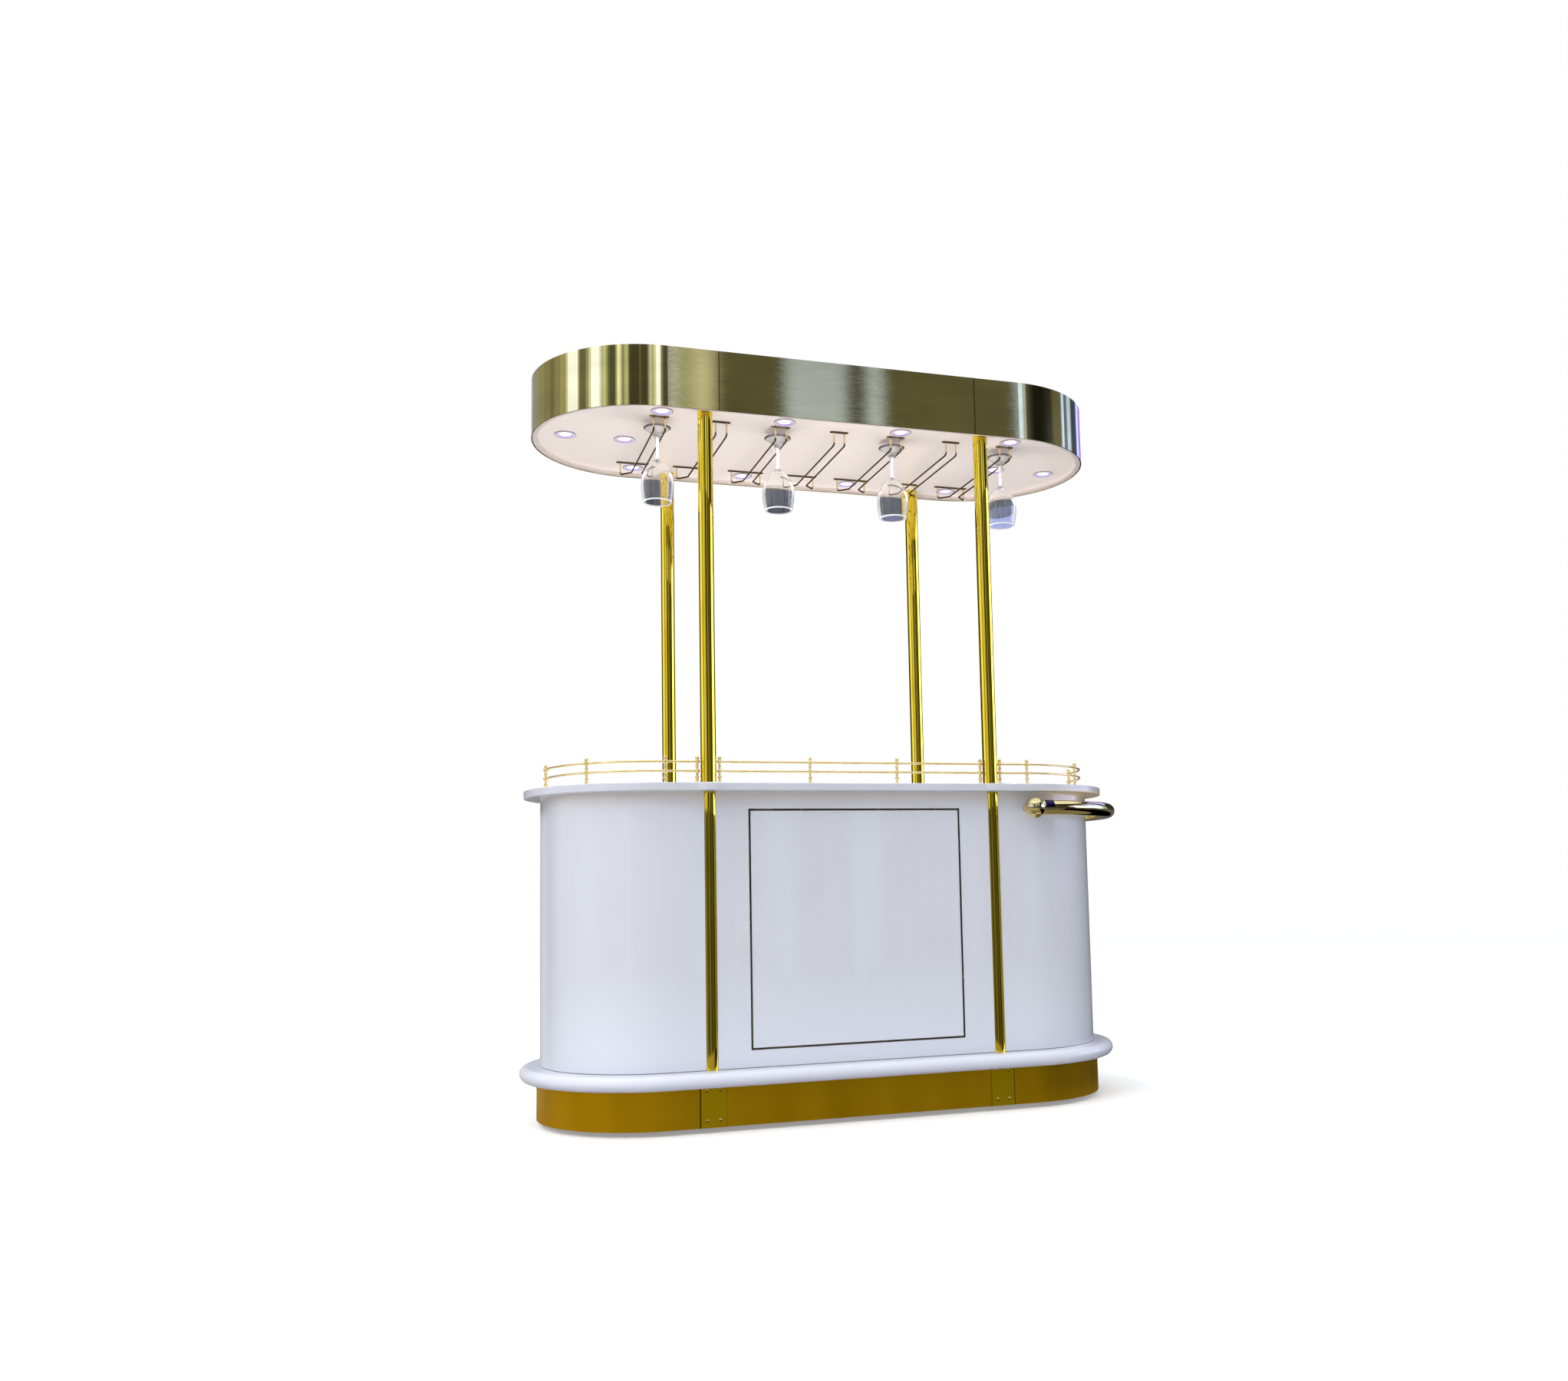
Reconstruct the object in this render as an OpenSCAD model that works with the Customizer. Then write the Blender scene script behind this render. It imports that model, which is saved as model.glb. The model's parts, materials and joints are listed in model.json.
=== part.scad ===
// Champagne cart: a stadium-shaped cabinet on hidden castors, with four brass columns that carry
// a lit canopy over a gallery-railed counter. Millimetres, +Z up, floor at z = 0.

/* [Footprint] */
// Half length of the straight sides, which is also where the round ends have their centres
straight_half = 522; // [480:1:600]
// Half width of the body and radius of its round ends
body_r = 305; // [285:1:330]
// How far the plinth stands out from the body
plinth_reach = 9; // [4:0.5:15]
// How far the bumper ledge stands out from the body
ledge_reach = 56; // [30:1:65]
// How far the counter stands out from the body
counter_reach = 46; // [30:1:55]
// How far the canopy stands out from the body
canopy_reach = 28; // [26:1:50]

/* [Heights] */
// Gap between the floor and the plinth skirt
floor_gap = 15; // [10:1:25]
// Height of the plinth
plinth_h = 105; // [95:1:130]
// Thickness of the bumper ledge, whose edge is a full bullnose
ledge_t = 40; // [30:1:50]
// Height of the body between the ledge and the counter
body_h = 734; // [650:1:800]
// Thickness of the counter
counter_t = 21; // [15:1:30]
// Open height between the counter and the canopy
canopy_gap = 1022; // [800:1:1150]
// Height of the brass canopy fascia
fascia_h = 169; // [140:1:220]

/* [Columns] */
// Outer diameter of the column tubes and of the push handle tube
tube_d = 41.5; // [34:0.1:45]
// Wall of the brass tubes
tube_wall = 1.5; // [1.2:0.1:3]
// Distance of the columns from the middle, along the cart
column_x = 412; // [380:1:440]
// Depth of the column axes behind the body face
column_inset = 14; // [10:0.5:17]
// Radius of the counter's round ears about the columns
ear_r = 72; // [64:1:80]
// Length of the spigots inside the column ends
spigot_len = 30; // [20:1:60]
// Diameter of the studs that run on from the spigots
stud_d = 16; // [10:1:20]
// Depth of the studs in the ledge and above the ceiling
stud_len = 30; // [15:1:34]

/* [Cabinet] */
// Thickness of the body panels, the bulkheads, the shelf and the doors
panel_t = 18; // [15:1:22]
// Thickness of the deck that carries the castors
deck_t = 15; // [12:1:22]
// Thickness of the timber curb inside the skirt
curb_t = 18; // [12:1:24]
// How far the curb ends above the skirt's bottom edge
curb_up = 2; // [1:0.5:6]
// Thickness of the brass skirt panels
skirt_t = 1.5; // [1:0.1:3]
// Width of the straps over the skirt joints
strap_w = 70; // [50:1:90]
// Thickness of the straps
strap_t = 2; // [1.5:0.1:3]
// Diameter of the heads of the strap screws
strap_screw_d = 8; // [6:0.5:10]
// Distance of the strap screws from the strap's middle
strap_screw_x = 17.5; // [10:0.5:18]
// Height of the lower strap screws above the strap's bottom
strap_screw_low = 19; // [10:0.5:30]
// Distance of the upper strap screws from the strap's top
strap_screw_top = 9; // [6:0.5:12]
// Width of the brass inlay on the front panel
inlay_w = 5; // [3:0.5:10]
// How far the inlay stands proud of the panel
inlay_proud = 0.8; // [0.3:0.1:2]
// Depth of the inlay's groove
inlay_depth = 2; // [1:0.5:4]
// Distance of the inlay's sides from the column axes
inlay_margin_x = 105.5; // [60:0.5:160]
// Distance of the inlay from the top and bottom of the front panel
inlay_margin_z = 47; // [20:1:90]
// Height of the shelf above the ledge
shelf_h = 350; // [200:1:450]
// Gap between the shelf and the back frame's inner face
shelf_back = 40; // [30:1:80]
// Gap between the columns and the bulkheads
bulkhead_gap = 3; // [1:0.5:10]
// Width of the back frame's stiles, from the column axes
stile_w = 72; // [60:1:100]
// Height of the back frame's bottom and top rails
rail_h = 36; // [25:1:60]

/* [Doors] */
// Gap round the doors
door_gap = 3; // [2.6:0.1:5]
// Diameter of the hinge knuckles
knuckle_d = 8; // [7:0.5:9]
// Diameter of the hinge pins
hinge_pin_d = 4; // [3:0.5:5]
// Gap between the knuckles and the doors' faces
knuckle_off = 1; // [0.6:0.1:2]
// Length of each of the three knuckles of a hinge
knuckle_len = 20; // [15:1:30]
// Thickness of the hinge leaves
leaf_t = 1.1; // [0.8:0.1:1.2]
// Width of the hinge leaves, inwards from the body face
leaf_w = 15; // [10:1:17]
// Distance of the hinges from the top and bottom of the doors
hinge_in = 90; // [60:1:150]
// Diameter of the door knobs
knob_d = 22; // [18:1:23]
// Length of the door knobs
knob_len = 30; // [24:1:40]
// Distance of the knobs from the meeting edges of the doors
knob_in = 32; // [22:1:60]

/* [Gallery] */
// Height of the upper rail's axis above the counter
rail_upper = 60; // [50:1:80]
// Height of the lower rail's axis above the counter
rail_lower = 34.5; // [28:0.5:40]
// Diameter of the rails
rail_d = 6; // [4:0.5:8]
// How far the rails' ends stand out of their last balls
rail_over = 1; // [0.5:0.5:4]
// Diameter of the balls that the rails run through
post_ball_d = 14; // [12:0.5:17]
// Diameter of the foot of each post
post_foot_d = 17.5; // [15:0.5:24]
// Depth to which the feet are let into the counter
post_sink = 1; // [0.5:0.1:2]
// Diameter of the finial balls
finial_d = 11; // [9:0.5:13]
// Depth to which the finial balls sink into the balls below them
finial_sunk = 3; // [1:0.5:4]
// Distance from the middle to the inner front posts
post_inner_x = 127; // [80:1:180]
// Gap between a column and the feet of the posts on both sides of it
post_apart = 1.5; // [1:0.5:12]
// Angle round each end at which its first post stands, from the end of the straight side
wing_first = 1.4; // [0:0.1:6]
// Angle round each end of its second post
wing_second = 44.5; // [30:0.5:60]
// Angle round each end of its last post
wing_last = 90; // [70:1:95]

/* [Handle] */
// Distance of the handle tube's axis from the body's straight sides
handle_off = 50; // [46:1:80]
// How far the centre of the handle's round end lies past that of the body's
handle_past = 20; // [16:1:40]
// Depth of the handle tube's axis below the counter
handle_drop = 48; // [40:1:80]
// Diameter of the ball elbows
ball_d = 60; // [57:1:66]
// Distance of the ball elbows' centres before the body's round end starts
ball_lead = 3; // [0:1:40]
// Length of the collar on each ball elbow
collar_len = 58; // [50:1:80]
// Wall of the collars, outside the tube
collar_wall = 1; // [0.8:0.1:3]
// Diameter of the standoffs between the elbows and the body
standoff_d = 22; // [16:1:22]
// Diameter of the roses where the standoffs meet the body
rose_d = 26; // [24:1:50]
// Thickness of the roses
rose_t = 4; // [2:0.5:8]
// Diameter of the boss round the set screw on each ball elbow
boss_d = 18; // [12:0.5:22]
// Diameter of the set screw's hole
grub_d = 8.7; // [5:0.1:9]
// Angle of the set screw below the horizontal
grub_dip = 50; // [0:5:90]
// Gap between the two halves of the handle tube, over their splice
splice_gap = 2; // [0.5:0.5:4]
// Length of the splice spigot inside the front half
splice_len = 30; // [20:1:60]

/* [Canopy] */
// Thickness of the brass fascia
fascia_t = 3; // [2:0.5:5]
// Distance of the fascia's joints from the middle
fascia_joint_x = 380; // [300:1:440]
// Gap at the fascia's joints
fascia_joint_gap = 0.8; // [0.4:0.1:2]
// Depth of the ceiling above the fascia's bottom edge
ceiling_recess = 11; // [8:1:25]
// Thickness of the ceiling board and of the top board
board_t = 12; // [9:1:18]
// Height from the fascia's bottom edge to the rim strip's bottom
rim_step = 2; // [1:0.5:4]
// Width of the rim strip under the ceiling's edge
rim_w = 13; // [6:0.5:14]
// Thickness of the timber ring behind the fascia
ring_t = 18; // [12:1:24]
// Width of the bearers across the canopy, over the columns
bearer_w = 60; // [40:1:90]
// Height of the bearers
bearer_h = 50; // [35:1:80]

/* [Downlights] */
// Outer diameter of the downlight bezels
bezel_d = 62; // [56:1:66]
// Thickness of the bezels' flange
bezel_t = 2.5; // [1.5:0.5:4]
// Diameter of the downlight cans
can_d = 50; // [46:1:54]
// Height of the downlight cans
can_h = 38; // [20:1:60]
// Diameter of the lenses
lens_d = 42; // [34:1:43]
// Thickness of the lenses
lens_t = 3; // [2:0.5:5]
// Distance of the long rows of lights from the canopy's edge
light_inset = 73; // [68:1:76]
// Distances of the end lights past the centres of the round ends
light_end_near = 68; // [60:1:90]
// Distance of the outer end lights past the centres of the round ends
light_end_far = 238; // [160:1:260]

/* [Glass racks] */
// Distance of the outermost racks past the centres of the round ends
rack_past_end = 3; // [-30:1:5]
// Diameter of the rack wires
wire_d = 5; // [4:0.5:7]
// Distance between the axes of a rack's two wires
rack_gap = 32; // [28:1:36]
// Depth of the wire axes below the ceiling
rack_drop = 40; // [34:1:60]
// Distance of the front droppers from the canopy's edge
rack_front_inset = 116; // [114:1:140]
// Distance of the back risers from the canopy's edge
rack_back_inset = 118; // [116:1:140]
// Distance between the axes of the two back risers
rack_mouth = 92; // [88:1:110]
// Radius of the wire bends
bend_r = 8; // [6:1:12]
// Width of the ceiling plates of the racks
tab_w = 14; // [10:1:15]
// Thickness of the ceiling plates of the racks
tab_t = 2; // [1.5:0.5:3]
// Length of the ceiling plates beyond the wire axes, at each end
tab_over = 12; // [8:1:18]

/* [Glasses] */
// Height of a glass
glass_h = 217; // [190:1:240]
// Diameter of its foot
foot_d = 77; // [66:1:80]
// Thickness of the foot's edge
foot_edge = 2; // [1.5:0.5:3]
// Height at which the foot's cone becomes the stem
neck_z = 27; // [22:1:35]
// Diameter there
neck_d = 15; // [12:0.5:18]
// Diameter of the stem
stem_d = 8; // [6:0.5:10]
// Height at which the bowl starts
bowl_z = 94; // [80:1:110]
// Height of the bowl's widest place
bowl_wide_z = 158; // [145:1:170]
// Diameter of the bowl's widest place
bowl_d = 92; // [80:1:100]
// Diameter of the mouth
mouth_d = 77; // [65:1:80]
// Wall of the bowl
glass_wall = 1.6; // [1.2:0.1:2.5]

/* [Castors] */
// Diameter of the castor wheels
wheel_d = 75; // [60:1:78]
// Width of the castor wheels
wheel_w = 25; // [18:1:30]
// Distance of the castors from the middle, along the cart
castor_x = 480; // [400:1:520]
// Distance of the castors from the middle, across the cart
castor_y = 185; // [120:1:190]
// Trail of the wheel axle behind the swivel axis
castor_trail = 28; // [20:1:34]
// Diameter of the kingpins
kingpin_d = 12; // [10:1:14]
// Diameter of the wheel axles
axle_d = 8; // [6:1:10]
// Thickness of the fork legs
fork_t = 3; // [2.5:0.5:5]

/* [Clearances] */
// Gap between fixed pieces whose curved faces meet
seat_gap = 0.3; // [0.2:0.05:0.5]
// Radial clearance of shafts that turn or slide in a bore
running_gap = 0.05; // [0.03:0.01:0.1]
// Gap between faces that move past each other
side_gap = 0.4; // [0.3:0.1:0.8]

/* [Hidden] */
$fn = 96;

// Radii of the levels, all about the same two end centres
plinth_r = body_r + plinth_reach;
ledge_r = body_r + ledge_reach;
counter_r = body_r + counter_reach;
canopy_r = body_r + canopy_reach;
inner_r = body_r - panel_t;
curb_r = plinth_r - skirt_t - seat_gap;
handle_r = body_r + handle_off;
tube_r = tube_d / 2;
bore_r = tube_r - tube_wall;
column_y = body_r - column_inset;

// Heights of the faces that pieces stand on
deck_z = floor_gap + plinth_h - deck_t;
ledge_z = floor_gap + plinth_h;
body_z = ledge_z + ledge_t;
counter_z = body_z + body_h;
top_z = counter_z + counter_t;
fascia_z = top_z + canopy_gap;
ceiling_z = fascia_z + ceiling_recess;
roof_z = fascia_z + fascia_h;
handle_z = counter_z - handle_drop;
wire_z = ceiling_z - rack_drop;

// Seven racks, numbered from -3 at the left to 3 at the right
rack_pitch = (straight_half + rack_past_end) / 3;
rack_front = canopy_r - rack_front_inset;
rack_back = canopy_r - rack_back_inset;

// The origin lies under the middle of the whole length, handle included
origin_shift = (max(ledge_r, counter_r) - handle_past - handle_r - tube_r) / 2;

// The corners of the cart where its columns and castors stand: along, across
CORNERS = [[-1, -1], [1, -1], [-1, 1], [1, 1]];

// Wedges and borders larger than the piece that they cut
cut = 1;
eased = 2.5;
door_half = column_x - stile_w;
door_bottom = body_z + rail_h + door_gap;
door_top = counter_z - rail_h - door_gap;
hinge_y = body_r + knuckle_d / 2 + knuckle_off;
hinge_x = door_half - door_gap / 2;
hinge_zs = [door_bottom + hinge_in, door_top - hinge_in];

module placed() {
    translate([origin_shift, 0, 0]) children();
}

module stadium(r) {
    square([2 * straight_half, 2 * r], center = true);
    for (side = [-1, 1]) translate([side * straight_half, 0]) circle(r = r);
}

module stadium_ring(r, wall) {
    difference() {
        stadium(r);
        stadium(r - wall);
    }
}

// Sweeps a 2D outline, drawn as distance outwards and height, all the way round the footprint
module round_the_cart() {
    rotate([90, 0, 90]) translate([0, 0, -straight_half]) linear_extrude(2 * straight_half) {
        children();
        mirror([1, 0]) children();
    }
    translate([straight_half, 0, 0]) rotate([0, 0, -90]) rotate_extrude(angle = 180) children();
    translate([-straight_half, 0, 0]) rotate([0, 0, 90]) rotate_extrude(angle = 180) children();
}

module at_columns() {
    for (c = CORNERS) translate([c.x * column_x, c.y * column_y, 0]) children();
}

module castor_place(c) {
    translate([c.x * castor_x, c.y * castor_y, 0]) children();
}

// Plan region between two distances along the cart
module along(x0, x1) {
    reach = 2 * (straight_half + canopy_r);
    translate([x0, -reach / 2]) square([x1 - x0, reach]);
}

module front_side() {
    reach = 2 * (straight_half + canopy_r);
    translate([-reach / 2, -reach]) square([reach, reach]);
}

// Plinth

module base_deck() {
    color("burlywood") placed() difference() {
        translate([0, 0, deck_z]) linear_extrude(deck_t) stadium(curb_r);
        strap_screw_holes();
    }
}

// Where the strap screws enter the skirt, with +Z outwards
module at_strap_screws() {
    for (c = CORNERS) for (side = [-1, 1]) for (z = [strap_screw_low, plinth_h - strap_screw_top])
        translate([c.x * column_x + side * strap_screw_x, c.y * plinth_r, floor_gap + z])
            rotate([-90 * c.y, 0, 0]) children();
}

// Holes for the strap screws, through the skirt and into the curb
module strap_screw_holes() {
    at_strap_screws() translate([0, 0, -strap_screw_len - cut])
        cylinder(d = strap_screw_d / 2 + 2 * seat_gap, h = strap_screw_len + 2 * cut, $fn = 32);
}

module plinth_curb() {
    foot = floor_gap + curb_up;
    color("burlywood") placed() difference() {
        translate([0, 0, foot]) linear_extrude(deck_z - foot) stadium_ring(curb_r, curb_t);
        strap_screw_holes();
    }
}

module skirt(x0, x1) {
    placed() difference() {
        translate([0, 0, floor_gap]) linear_extrude(plinth_h) intersection() {
            stadium_ring(plinth_r, skirt_t);
            along(x0, x1);
            children();
        }
        strap_screw_holes();
    }
}

skirt_end_x = straight_half + plinth_r + cut;
skirt_joint = column_x + seat_gap / 2;

module skirt_front() {
    color("goldenrod") skirt(-column_x + seat_gap / 2, column_x - seat_gap / 2) front_side();
}

module skirt_back() {
    color("goldenrod") skirt(-column_x + seat_gap / 2, column_x - seat_gap / 2)
        mirror([0, 1]) front_side();
}

module skirt_left() {
    color("goldenrod") skirt(-skirt_end_x, -skirt_joint) along(-skirt_end_x, 0);
}

module skirt_right() {
    color("goldenrod") skirt(skirt_joint, skirt_end_x) along(0, skirt_end_x);
}

// A round-headed screw, its head above z = 0 and its shank below
module round_screw(head, shank, length) {
    dome_r = head * 0.62;
    translate([0, 0, -length]) cylinder(d = shank, h = length + 0.5, $fn = 32);
    intersection() {
        translate([0, 0, screw_head_h - dome_r]) sphere(r = dome_r, $fn = 48);
        cylinder(d = head, h = screw_head_h);
    }
}

screw_head_h = 2.2;
strap_screw_len = skirt_t + seat_gap + 12;

// Straps over the skirt joints, each with its four screws into the curb
module skirt_straps() {
    color("goldenrod") placed() {
        for (c = CORNERS)
            translate([c.x * column_x, c.y * (plinth_r + strap_t / 2), floor_gap + plinth_h / 2])
                cube([strap_w, strap_t, plinth_h], center = true);
        at_strap_screws() translate([0, 0, strap_t])
            round_screw(strap_screw_d, strap_screw_d / 2, strap_screw_len + strap_t);
    }
}

// A full board whose edge is a bullnose
module bumper_ledge() {
    nose = ledge_t / 2;
    color("white") placed() difference() {
        translate([0, 0, ledge_z + nose]) round_the_cart() intersection() {
            union() {
                translate([0, -nose]) square([ledge_r - nose, ledge_t]);
                translate([ledge_r - nose, 0]) circle(r = nose);
            }
            translate([0, -nose]) square([ledge_r, ledge_t]);
        }
        at_columns() translate([0, 0, body_z - stud_len])
            cylinder(d = stud_d + 2 * seat_gap, h = stud_len + cut);
    }
}

// Body

// Room for the column tubes where the body panels meet them
module column_rooms(h) {
    at_columns() cylinder(r = tube_r + seat_gap, h = h);
}

module panel_wall(x0, x1) {
    difference() {
        translate([0, 0, body_z]) linear_extrude(body_h) intersection() {
            stadium_ring(body_r, panel_t);
            along(x0, x1);
            children();
        }
        column_rooms(top_z);
    }
}

module inlay_outline(grow) {
    half = column_x - inlay_margin_x + grow;
    z0 = body_z + inlay_margin_z - grow;
    z1 = counter_z - inlay_margin_z + grow;
    difference() {
        translate([-half, z0]) square([2 * half, z1 - z0]);
        translate([-half + inlay_w + 2 * grow, z0 + inlay_w + 2 * grow])
            square([2 * (half - inlay_w - 2 * grow), z1 - z0 - 2 * (inlay_w + 2 * grow)]);
    }
}

module front_panel() {
    color("white") placed() difference() {
        panel_wall(-column_x, column_x) front_side();
        translate([0, -body_r + inlay_depth, 0]) rotate([90, 0, 0])
            linear_extrude(inlay_depth + cut) inlay_outline(seat_gap / 2);
    }
}

module front_inlay() {
    color("goldenrod") placed() translate([0, -body_r + inlay_depth, 0]) rotate([90, 0, 0])
        linear_extrude(inlay_depth + inlay_proud) inlay_outline(0);
}

module stud_holes() {
    translate([straight_half - ball_lead, 0, handle_z]) rotate([90, 0, 0])
        cylinder(d = standoff_stud_d + 2 * seat_gap, h = 4 * body_r, center = true);
}

module end_panel_left() {
    x_end = straight_half + body_r + cut;
    color("white") placed() panel_wall(-x_end, -column_x) along(-x_end, 0);
}

module end_panel_right() {
    x_end = straight_half + body_r + cut;
    color("white") placed() difference() {
        panel_wall(column_x, x_end) along(0, x_end);
        stud_holes();
    }
}

module back_frame() {
    color("white") placed() difference() {
        panel_wall(-column_x, column_x) mirror([0, 1]) front_side();
        translate([-door_half, 0, body_z + rail_h])
            cube([2 * door_half, 2 * body_r, body_h - 2 * rail_h]);
    }
}

bulkhead_outer = column_x - tube_r - bulkhead_gap;
cabinet_half = bulkhead_outer - panel_t;

module bulkheads() {
    color("white") placed() for (side = [-1, 1])
        translate([side * (bulkhead_outer - panel_t / 2), 0, body_z + body_h / 2])
            cube([panel_t, 2 * inner_r, body_h], center = true);
}

module shelf() {
    back_y = inner_r - shelf_back;
    color("white") placed() translate([-cabinet_half, -inner_r, body_z + shelf_h])
        cube([2 * cabinet_half, inner_r + back_y, panel_t]);
}

// Doors

module door_board(side) {
    x0 = side > 0 ? door_gap / 2 : -door_half + door_gap;
    placed() translate([x0, inner_r, door_bottom])
        cube([door_half - 1.5 * door_gap, panel_t, door_top - door_bottom]);
}

module door_left() {
    color("white") door_board(-1);
}

module door_right() {
    color("white") door_board(1);
}

// A leaf plate beside the hinge axis, to one side of the gap, with its own knuckles
module leaf(toward_frame, zs) {
    tall = 3 * knuckle_len;
    x0 = toward_frame ? door_gap / 2 - leaf_t : -door_gap / 2;
    face = hinge_y - body_r;
    translate([x0, -face - leaf_w, -tall / 2]) cube([leaf_t, leaf_w, tall]);
    difference() {
        union() {
            for (z = zs) translate([x0, -face - cut, z])
                cube([leaf_t, face + cut, knuckle_len - side_gap]);
            for (z = zs) translate([0, 0, z]) cylinder(d = knuckle_d, h = knuckle_len - side_gap);
        }
        translate([0, 0, -tall]) cylinder(d = hinge_pin_d + 2 * running_gap, h = 2 * tall);
    }
}

module at_hinges(side) {
    placed() for (z = hinge_zs) translate([side * hinge_x, hinge_y, z])
        mirror([side > 0 ? 0 : 1, 0, 0]) children();
}

frame_knuckle_zs = [-1.5 * knuckle_len + side_gap / 2, 0.5 * knuckle_len + side_gap / 2];
door_knuckle_zs = [-0.5 * knuckle_len + side_gap / 2];

module hinge_frame_leaves() {
    pin_h = 3 * knuckle_len - side_gap;
    cap = 1.5;
    color("goldenrod") for (side = [-1, 1]) at_hinges(side) {
        leaf(true, frame_knuckle_zs);
        translate([0, 0, -pin_h / 2]) cylinder(d = hinge_pin_d, h = pin_h);
        for (z = [-pin_h / 2 - cap, pin_h / 2]) translate([0, 0, z]) cylinder(d = knuckle_d, h = cap);
    }
}

// A ball knob on a short neck
module knob() {
    rotate([-90, 0, 0]) rotate_extrude() intersection() {
        union() {
            square([knob_d / 3, 2]);
            square([knob_d / 5, knob_len - knob_d / 2]);
            translate([0, knob_len - knob_d / 2]) circle(d = knob_d);
        }
        square([knob_d, knob_len]);
    }
}

module door_fittings(side) {
    at_hinges(side) leaf(false, door_knuckle_zs);
    placed() translate([side * (door_gap / 2 + knob_in), body_r, (door_bottom + door_top) / 2]) knob();
}

module door_fittings_left() {
    color("goldenrod") door_fittings(-1);
}

module door_fittings_right() {
    color("goldenrod") door_fittings(1);
}

// Magnetic catches under the top rail, one behind each door
module door_catches() {
    size = [28, 14, 30];
    below = 12;
    from_middle = 20;
    color("white") placed() for (side = [-1, 1])
        translate([side * from_middle - size.x / 2, inner_r - size.y, counter_z - rail_h - below])
            difference() {
                cube(size);
                translate([-cut, size.y - side_gap, -cut])
                    cube([size.x + 2 * cut, size.y, below + cut + seat_gap]);
            }
}

// Counter

// A slab's half outline with rounded arrises, drawn outwards and upwards from its axis
module eased_outline(r, t, e) {
    square([r - e, t]);
    translate([0, e]) square([r, t - 2 * e]);
    for (z = [e, t - e]) translate([r - e, z]) circle(r = e, $fn = 32);
}

module countertop() {
    color("white") placed() difference() {
        translate([0, 0, counter_z]) {
            round_the_cart() eased_outline(counter_r, counter_t, eased);
            at_columns() rotate_extrude() eased_outline(ear_r, counter_t, eased);
        }
        column_rooms(top_z + cut);
        at_posts() translate([0, 0, -post_sink])
            cylinder(d = post_foot_d + 2 * seat_gap, h = post_sink + cut);
    }
}

// Columns

module column(c) {
    h = ceiling_z - body_z;
    placed() translate([c.x * column_x, c.y * column_y, body_z]) difference() {
        cylinder(r = tube_r, h = h);
        translate([0, 0, -cut]) cylinder(r = bore_r, h = h + 2 * cut);
    }
}

module column_front_left() {
    color("gold") column(CORNERS[0]);
}

module column_front_right() {
    color("gold") column(CORNERS[1]);
}

module column_back_left() {
    color("gold") column(CORNERS[2]);
}

module column_back_right() {
    color("gold") column(CORNERS[3]);
}

// Plugs in both ends of each tube, with studs into the ledge and into the canopy bearers
module column_spigots() {
    plug_r = bore_r - running_gap;
    color("silver") placed() at_columns() {
        translate([0, 0, body_z]) cylinder(r = plug_r, h = spigot_len);
        translate([0, 0, body_z - stud_len]) cylinder(d = stud_d, h = stud_len + cut);
        translate([0, 0, ceiling_z - spigot_len]) cylinder(r = plug_r, h = spigot_len);
        translate([0, 0, ceiling_z - cut]) cylinder(d = stud_d, h = stud_len + cut);
    }
}

// Gallery

wing_angles = [wing_first, wing_second, wing_last];
post_beside = tube_r + post_apart + post_foot_d / 2;
wing_start = column_x + post_beside;

function round_end(side, angle) =
    [side * (straight_half + column_y * sin(angle)), -column_y * cos(angle)];

post_xs = [post_inner_x, column_x - post_beside, wing_start];
post_places = concat(
    [for (side = [-1, 1]) for (x = post_xs) [side * x, -column_y]],
    [for (side = [-1, 1]) for (angle = wing_angles) round_end(side, angle)]
);

module at_posts() {
    for (p = post_places) translate([p.x, p.y, top_z]) children();
}

// Half outline of a turned post, from its foot, let into the counter, to its finial
module post_outline() {
    top = rail_upper + post_ball_d / 2 + finial_d - finial_sunk;
    bead_z = rail_lower / 2;
    neck = rail_d / 2 + 0.3;
    foot_t = 2.5;
    intersection() {
        union() {
            translate([0, -post_sink]) square([post_foot_d / 2, foot_t + post_sink]);
            polygon([[0, 2], [post_foot_d / 2 - foot_t, foot_t], [neck, 9], [0, 9]]);
            square([neck, top - finial_d / 2]);
            translate([0, bead_z]) circle(d = post_ball_d * 0.82);
            for (z = [rail_lower, rail_upper]) translate([0, z]) circle(d = post_ball_d);
            translate([0, (rail_lower + rail_upper) / 2]) circle(d = post_ball_d * 0.66);
            translate([0, top - finial_d / 2]) circle(d = finial_d);
        }
        translate([0, -post_sink]) square([post_foot_d, top + post_sink]);
    }
}

// One level of the gallery rail: the front stretch between the columns and the two wings
module rail_level(r, extra) {
    over = post_ball_d / 2 + rail_over + extra;
    front_half = column_x - post_beside + over;
    wing_from = wing_start - over;
    sweep = wing_last + asin(over / column_y);
    translate([-front_half, -column_y, 0]) rotate([0, 90, 0]) cylinder(r = r, h = 2 * front_half);
    for (side = [0, 1]) mirror([side, 0, 0]) {
        translate([wing_from, -column_y, 0]) rotate([0, 90, 0])
            cylinder(r = r, h = straight_half - wing_from);
        translate([straight_half, 0, 0]) rotate([0, 0, -90]) rotate_extrude(angle = sweep)
            translate([column_y, 0]) circle(r = r);
    }
}

module gallery_rails() {
    color("gold") placed() for (z = [rail_lower, rail_upper]) translate([0, 0, top_z + z])
        rail_level(rail_d / 2, 0);
}

module gallery_posts() {
    color("gold") placed() difference() {
        at_posts() rotate_extrude($fn = 48) post_outline();
        for (z = [rail_lower, rail_upper]) translate([0, 0, top_z + z])
            rail_level(rail_d / 2 + running_gap, seat_gap);
    }
}

// Push handle

standoff_stud_d = 10;
standoff_socket = 12;
collar_r = tube_r + collar_wall;
ball_x = straight_half - ball_lead;
ring_x = straight_half + handle_past;

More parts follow.
